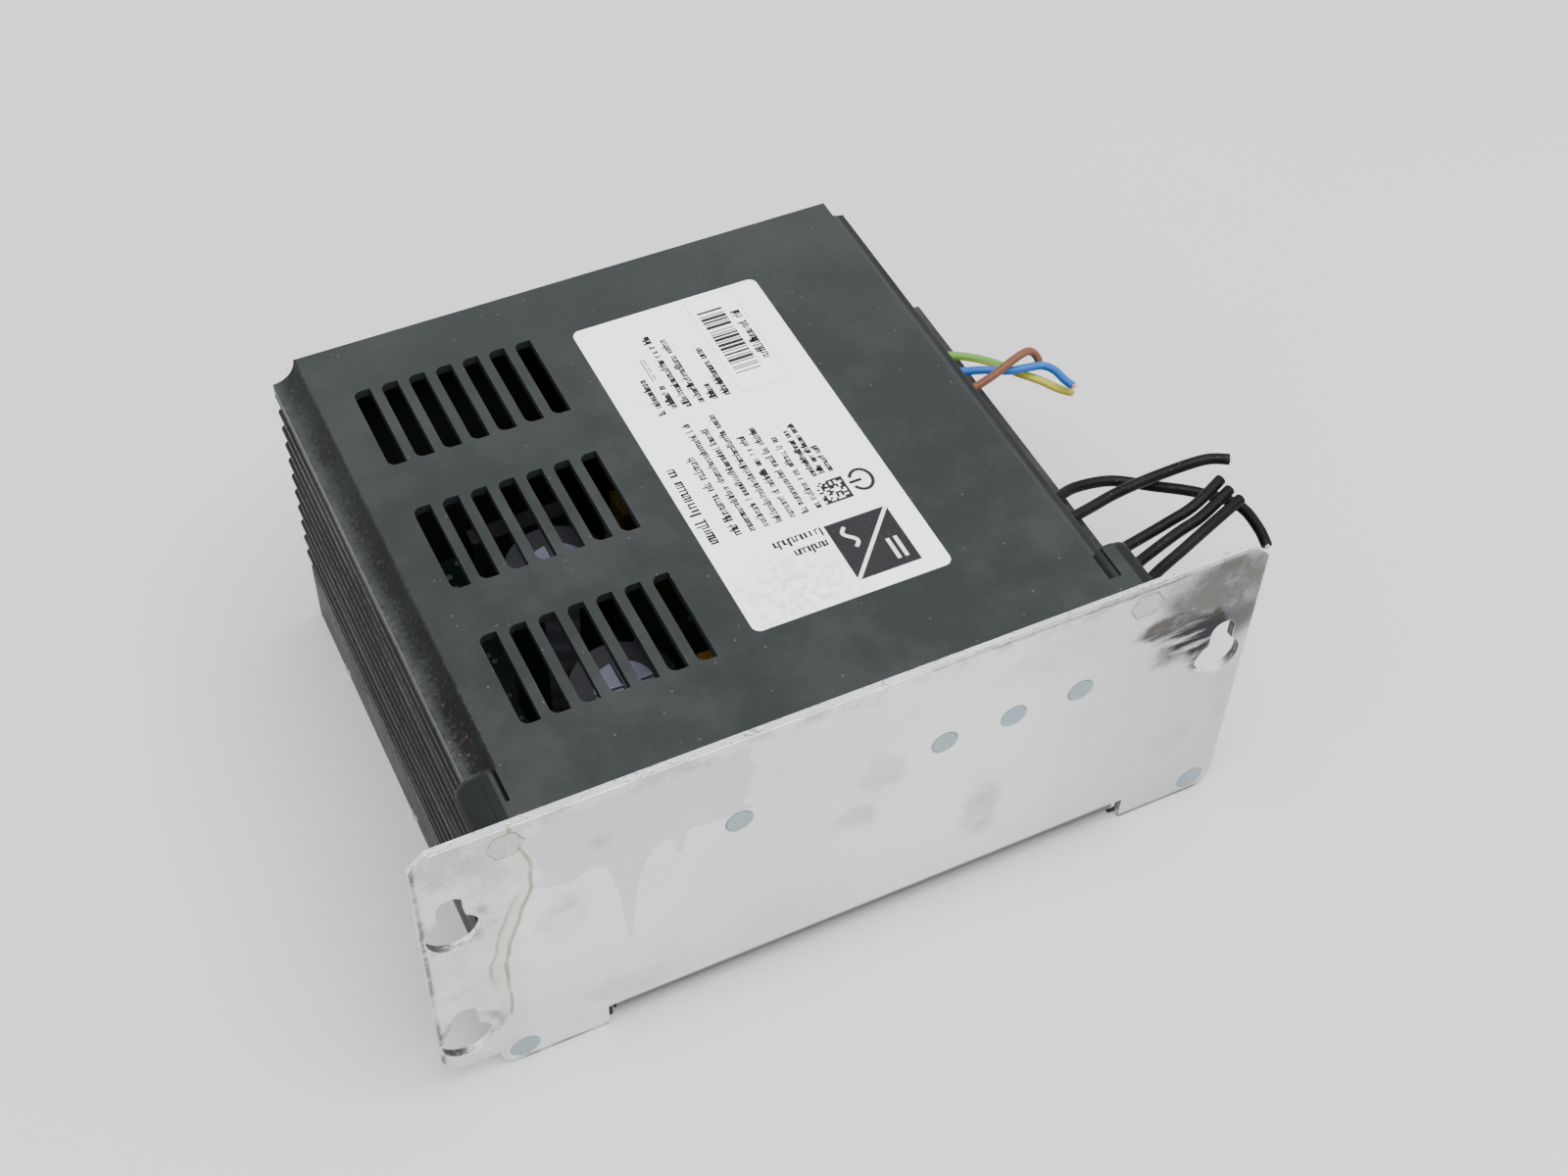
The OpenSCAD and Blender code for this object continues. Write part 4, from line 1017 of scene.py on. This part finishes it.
def makeSigns():
    # the converter sign: a solid box with a slanting line, a wave for alternating current and
    # two bars for direct current; and a plain ring with a stroke above the serial lines
    look = signLook
    low, high, over = look["low"], look["high"], look["over"]
    x, y, w, d = look["box"]
    blockPiece("converter_sign", [[x + w / 2, y + d / 2, w, d]], low, high, ink)
    t = np.linspace(0, 1, 25)
    slant = np.stack([x + w * t, y + d * t], -1)
    wave = np.stack([x + w * 0.26 + 1.1 * np.sin(2 * np.pi * t), y + d * (0.52 + 0.36 * t)], -1)
    bars = [np.stack([np.full(25, x + w * f), y + d * (0.12 + 0.36 * t)], -1) for f in (0.72, 0.84)]
    sheets = [ribbon(slant, 0.9, high - 0.01, over)]
    sheets += [ribbon(path, 0.9, high - 0.01, over - 0.003) for path in (wave, *bars)]
    lines = surfacePiece("converter_lines", sheets, smooth=False)
    ringX, ringY = look["ring"]
    a = np.linspace(0.45, 2 * np.pi - 0.45, 41)
    ring = np.stack([ringX + 2.5 * np.cos(a + np.pi), ringY + 3.1 * np.sin(a + np.pi)], -1)
    stroke = np.stack([ringX - 3.0 + 3.0 * t, np.full(25, ringY)], -1)
    sign = surfacePiece("switch_sign", [ribbon(ring, 0.85, low, high), ribbon(stroke, 0.85, low, high - 0.003)],
                        smooth=False)
    dress(lines, whiteInk)
    dress(sign, ink)


makeSigns()

stickerLook = {"box": (14.02, 19.0, 12.5, 33.5), "radius": 0.8, "low": 88.645, "high": 88.722,
               "ink": 88.748}


def roundedSheet(x, y, w, d, radius, low, high):
    # rings of a round-cornered rectangle: the middle of the foot, foot, wall, top, middle of the top
    a = np.linspace(0, 2 * np.pi, 33)[:-1]
    quarter = np.floor(a / (np.pi / 2)).astype(int)
    cx = np.where((quarter == 0) | (quarter == 3), x + w - radius, x + radius)
    cy = np.where(quarter < 2, y + d - radius, y + radius)
    ring = np.stack([cx + radius * np.cos(a), cy + radius * np.sin(a)], -1)
    ring = np.vstack([ring, ring[:1]])
    middle = np.repeat([[x + w / 2, y + d / 2]], len(ring), 0)
    rows = [(middle, low), (ring, low), (ring, high), (middle, high)]
    return np.stack([np.concatenate([r, np.full((len(r), 1), z)], -1) for r, z in rows]) * mm, None


def makeSticker():
    # a small sticker over the label's corner, its bars of uneven width and one line of print
    look = stickerLook
    x, y, w, d = look["box"]
    body = roundedSheet(x, y, w, d, look["radius"], look["low"], look["high"])
    sheet = surfacePiece("bar_sticker", [body], smooth=False)
    material, where = newMaterial("stickerPaper")
    grain = useGroup(fineGrain, where, 0.0006)
    base = blendOf(grain["Cloud"], (0.90, 0.90, 0.89), (0.95, 0.95, 0.94))
    # its border is dirty where the paper has picked up dust
    px, py = axesOf(where)[:2]
    sideways = unsigned(minus(px, (x + w / 2) * mm))
    along = unsigned(minus(py, (y + d / 2) * mm))
    rim = most(fade(sideways, (w / 2 - 0.45) * mm, (w / 2 - 0.1) * mm),
               fade(along, (d / 2 - 0.45) * mm, (d / 2 - 0.1) * mm))
    base = paint(base, (0.36, 0.35, 0.33), rim, fade(grain["Height"], 0.35, 0.6, 0.5, 1.0), 0.6)
    feedGrained(base, grain["Height"], 0.42, 0.56, 0.00002)
    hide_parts("serial_sticker")
    dress(sheet, material)
    bx, by, high, length = labelPrint["bars"]
    widths = dice.choice([0.25, 0.25, 0.45, 0.7], 42)
    edges = np.cumsum(np.concatenate([[0], widths]))
    edges = by + edges / edges[-1] * length
    bars = np.stack([np.full(21, bx + high / 2), (edges[0:-1:2] + edges[1::2]) / 2, np.full(21, high),
                     edges[1::2] - edges[0:-1:2]], -1)
    text = alongY(greeked(26.5, 18.5, 2.4, 0.17, 30), 25.4)
    blockPiece("sticker_print", np.concatenate([bars, text]), look["high"] - 0.01, look["ink"], ink)


makeSticker()
print("label printed")

floorLook = {"size": 3.0, "pale": (0.575, 0.572, 0.565), "grey": (0.535, 0.533, 0.528)}


def makeFloor():
    half = floorLook["size"] / 2
    line = np.linspace(-half, half, 9)
    gx, gy = np.meshgrid(line, line)
    mesh = surfaceMesh("floor", [(np.stack([gx, gy, np.zeros_like(gx)], -1), None)])
    if mesh.polygons[0].normal.z < 0:
        mesh.flip_normals()
    floor = bpy.data.objects.new("floor", mesh)
    bpy.context.scene.collection.objects.link(floor)
    material, where = newMaterial("paleFloor", rough=0.6)
    feed(colour=blendOf(noise(where, 5.0, 4.0), floorLook["grey"], floorLook["pale"]))
    setMaterial(material, floor)


makeFloor()

lightLook = {
    "world": (0.92, 0.95, 1.0), "worldStrength": 1.42,
    # name: place, aimed at, size x, size y, watts
    "lamps": {"overhead": ((0.2, -0.45, 1.6), (0.0, -0.05, 0.0), 1.6, 1.3, 47.0),
              "window": ((-1.3, 0.2, 1.3), (0.0, 0.0, 0.03), 1.2, 1.2, 7.4)},
}


def makeLights():
    world = bpy.data.worlds.new("paleRoom")
    world.use_nodes = True
    world.node_tree.nodes["Background"].inputs[0].default_value = shade(lightLook["world"])
    world.node_tree.nodes["Background"].inputs[1].default_value = lightLook["worldStrength"]
    bpy.context.scene.world = world
    for name, (at, aim, sx, sy, watts) in lightLook["lamps"].items():
        lamp = bpy.data.lights.new(name, "AREA")
        lamp.shape, lamp.size, lamp.size_y, lamp.energy = "RECTANGLE", sx, sy, watts
        holder = bpy.data.objects.new(name, lamp)
        bpy.context.scene.collection.objects.link(holder)
        holder.location = at
        way = np.array(aim) - np.array(at)
        flat = math.hypot(way[0], way[1])
        holder.rotation_euler = (math.atan2(flat, -way[2]), 0, math.atan2(way[1], way[0]) - math.pi / 2)


makeLights()
print("floor and lights placed")
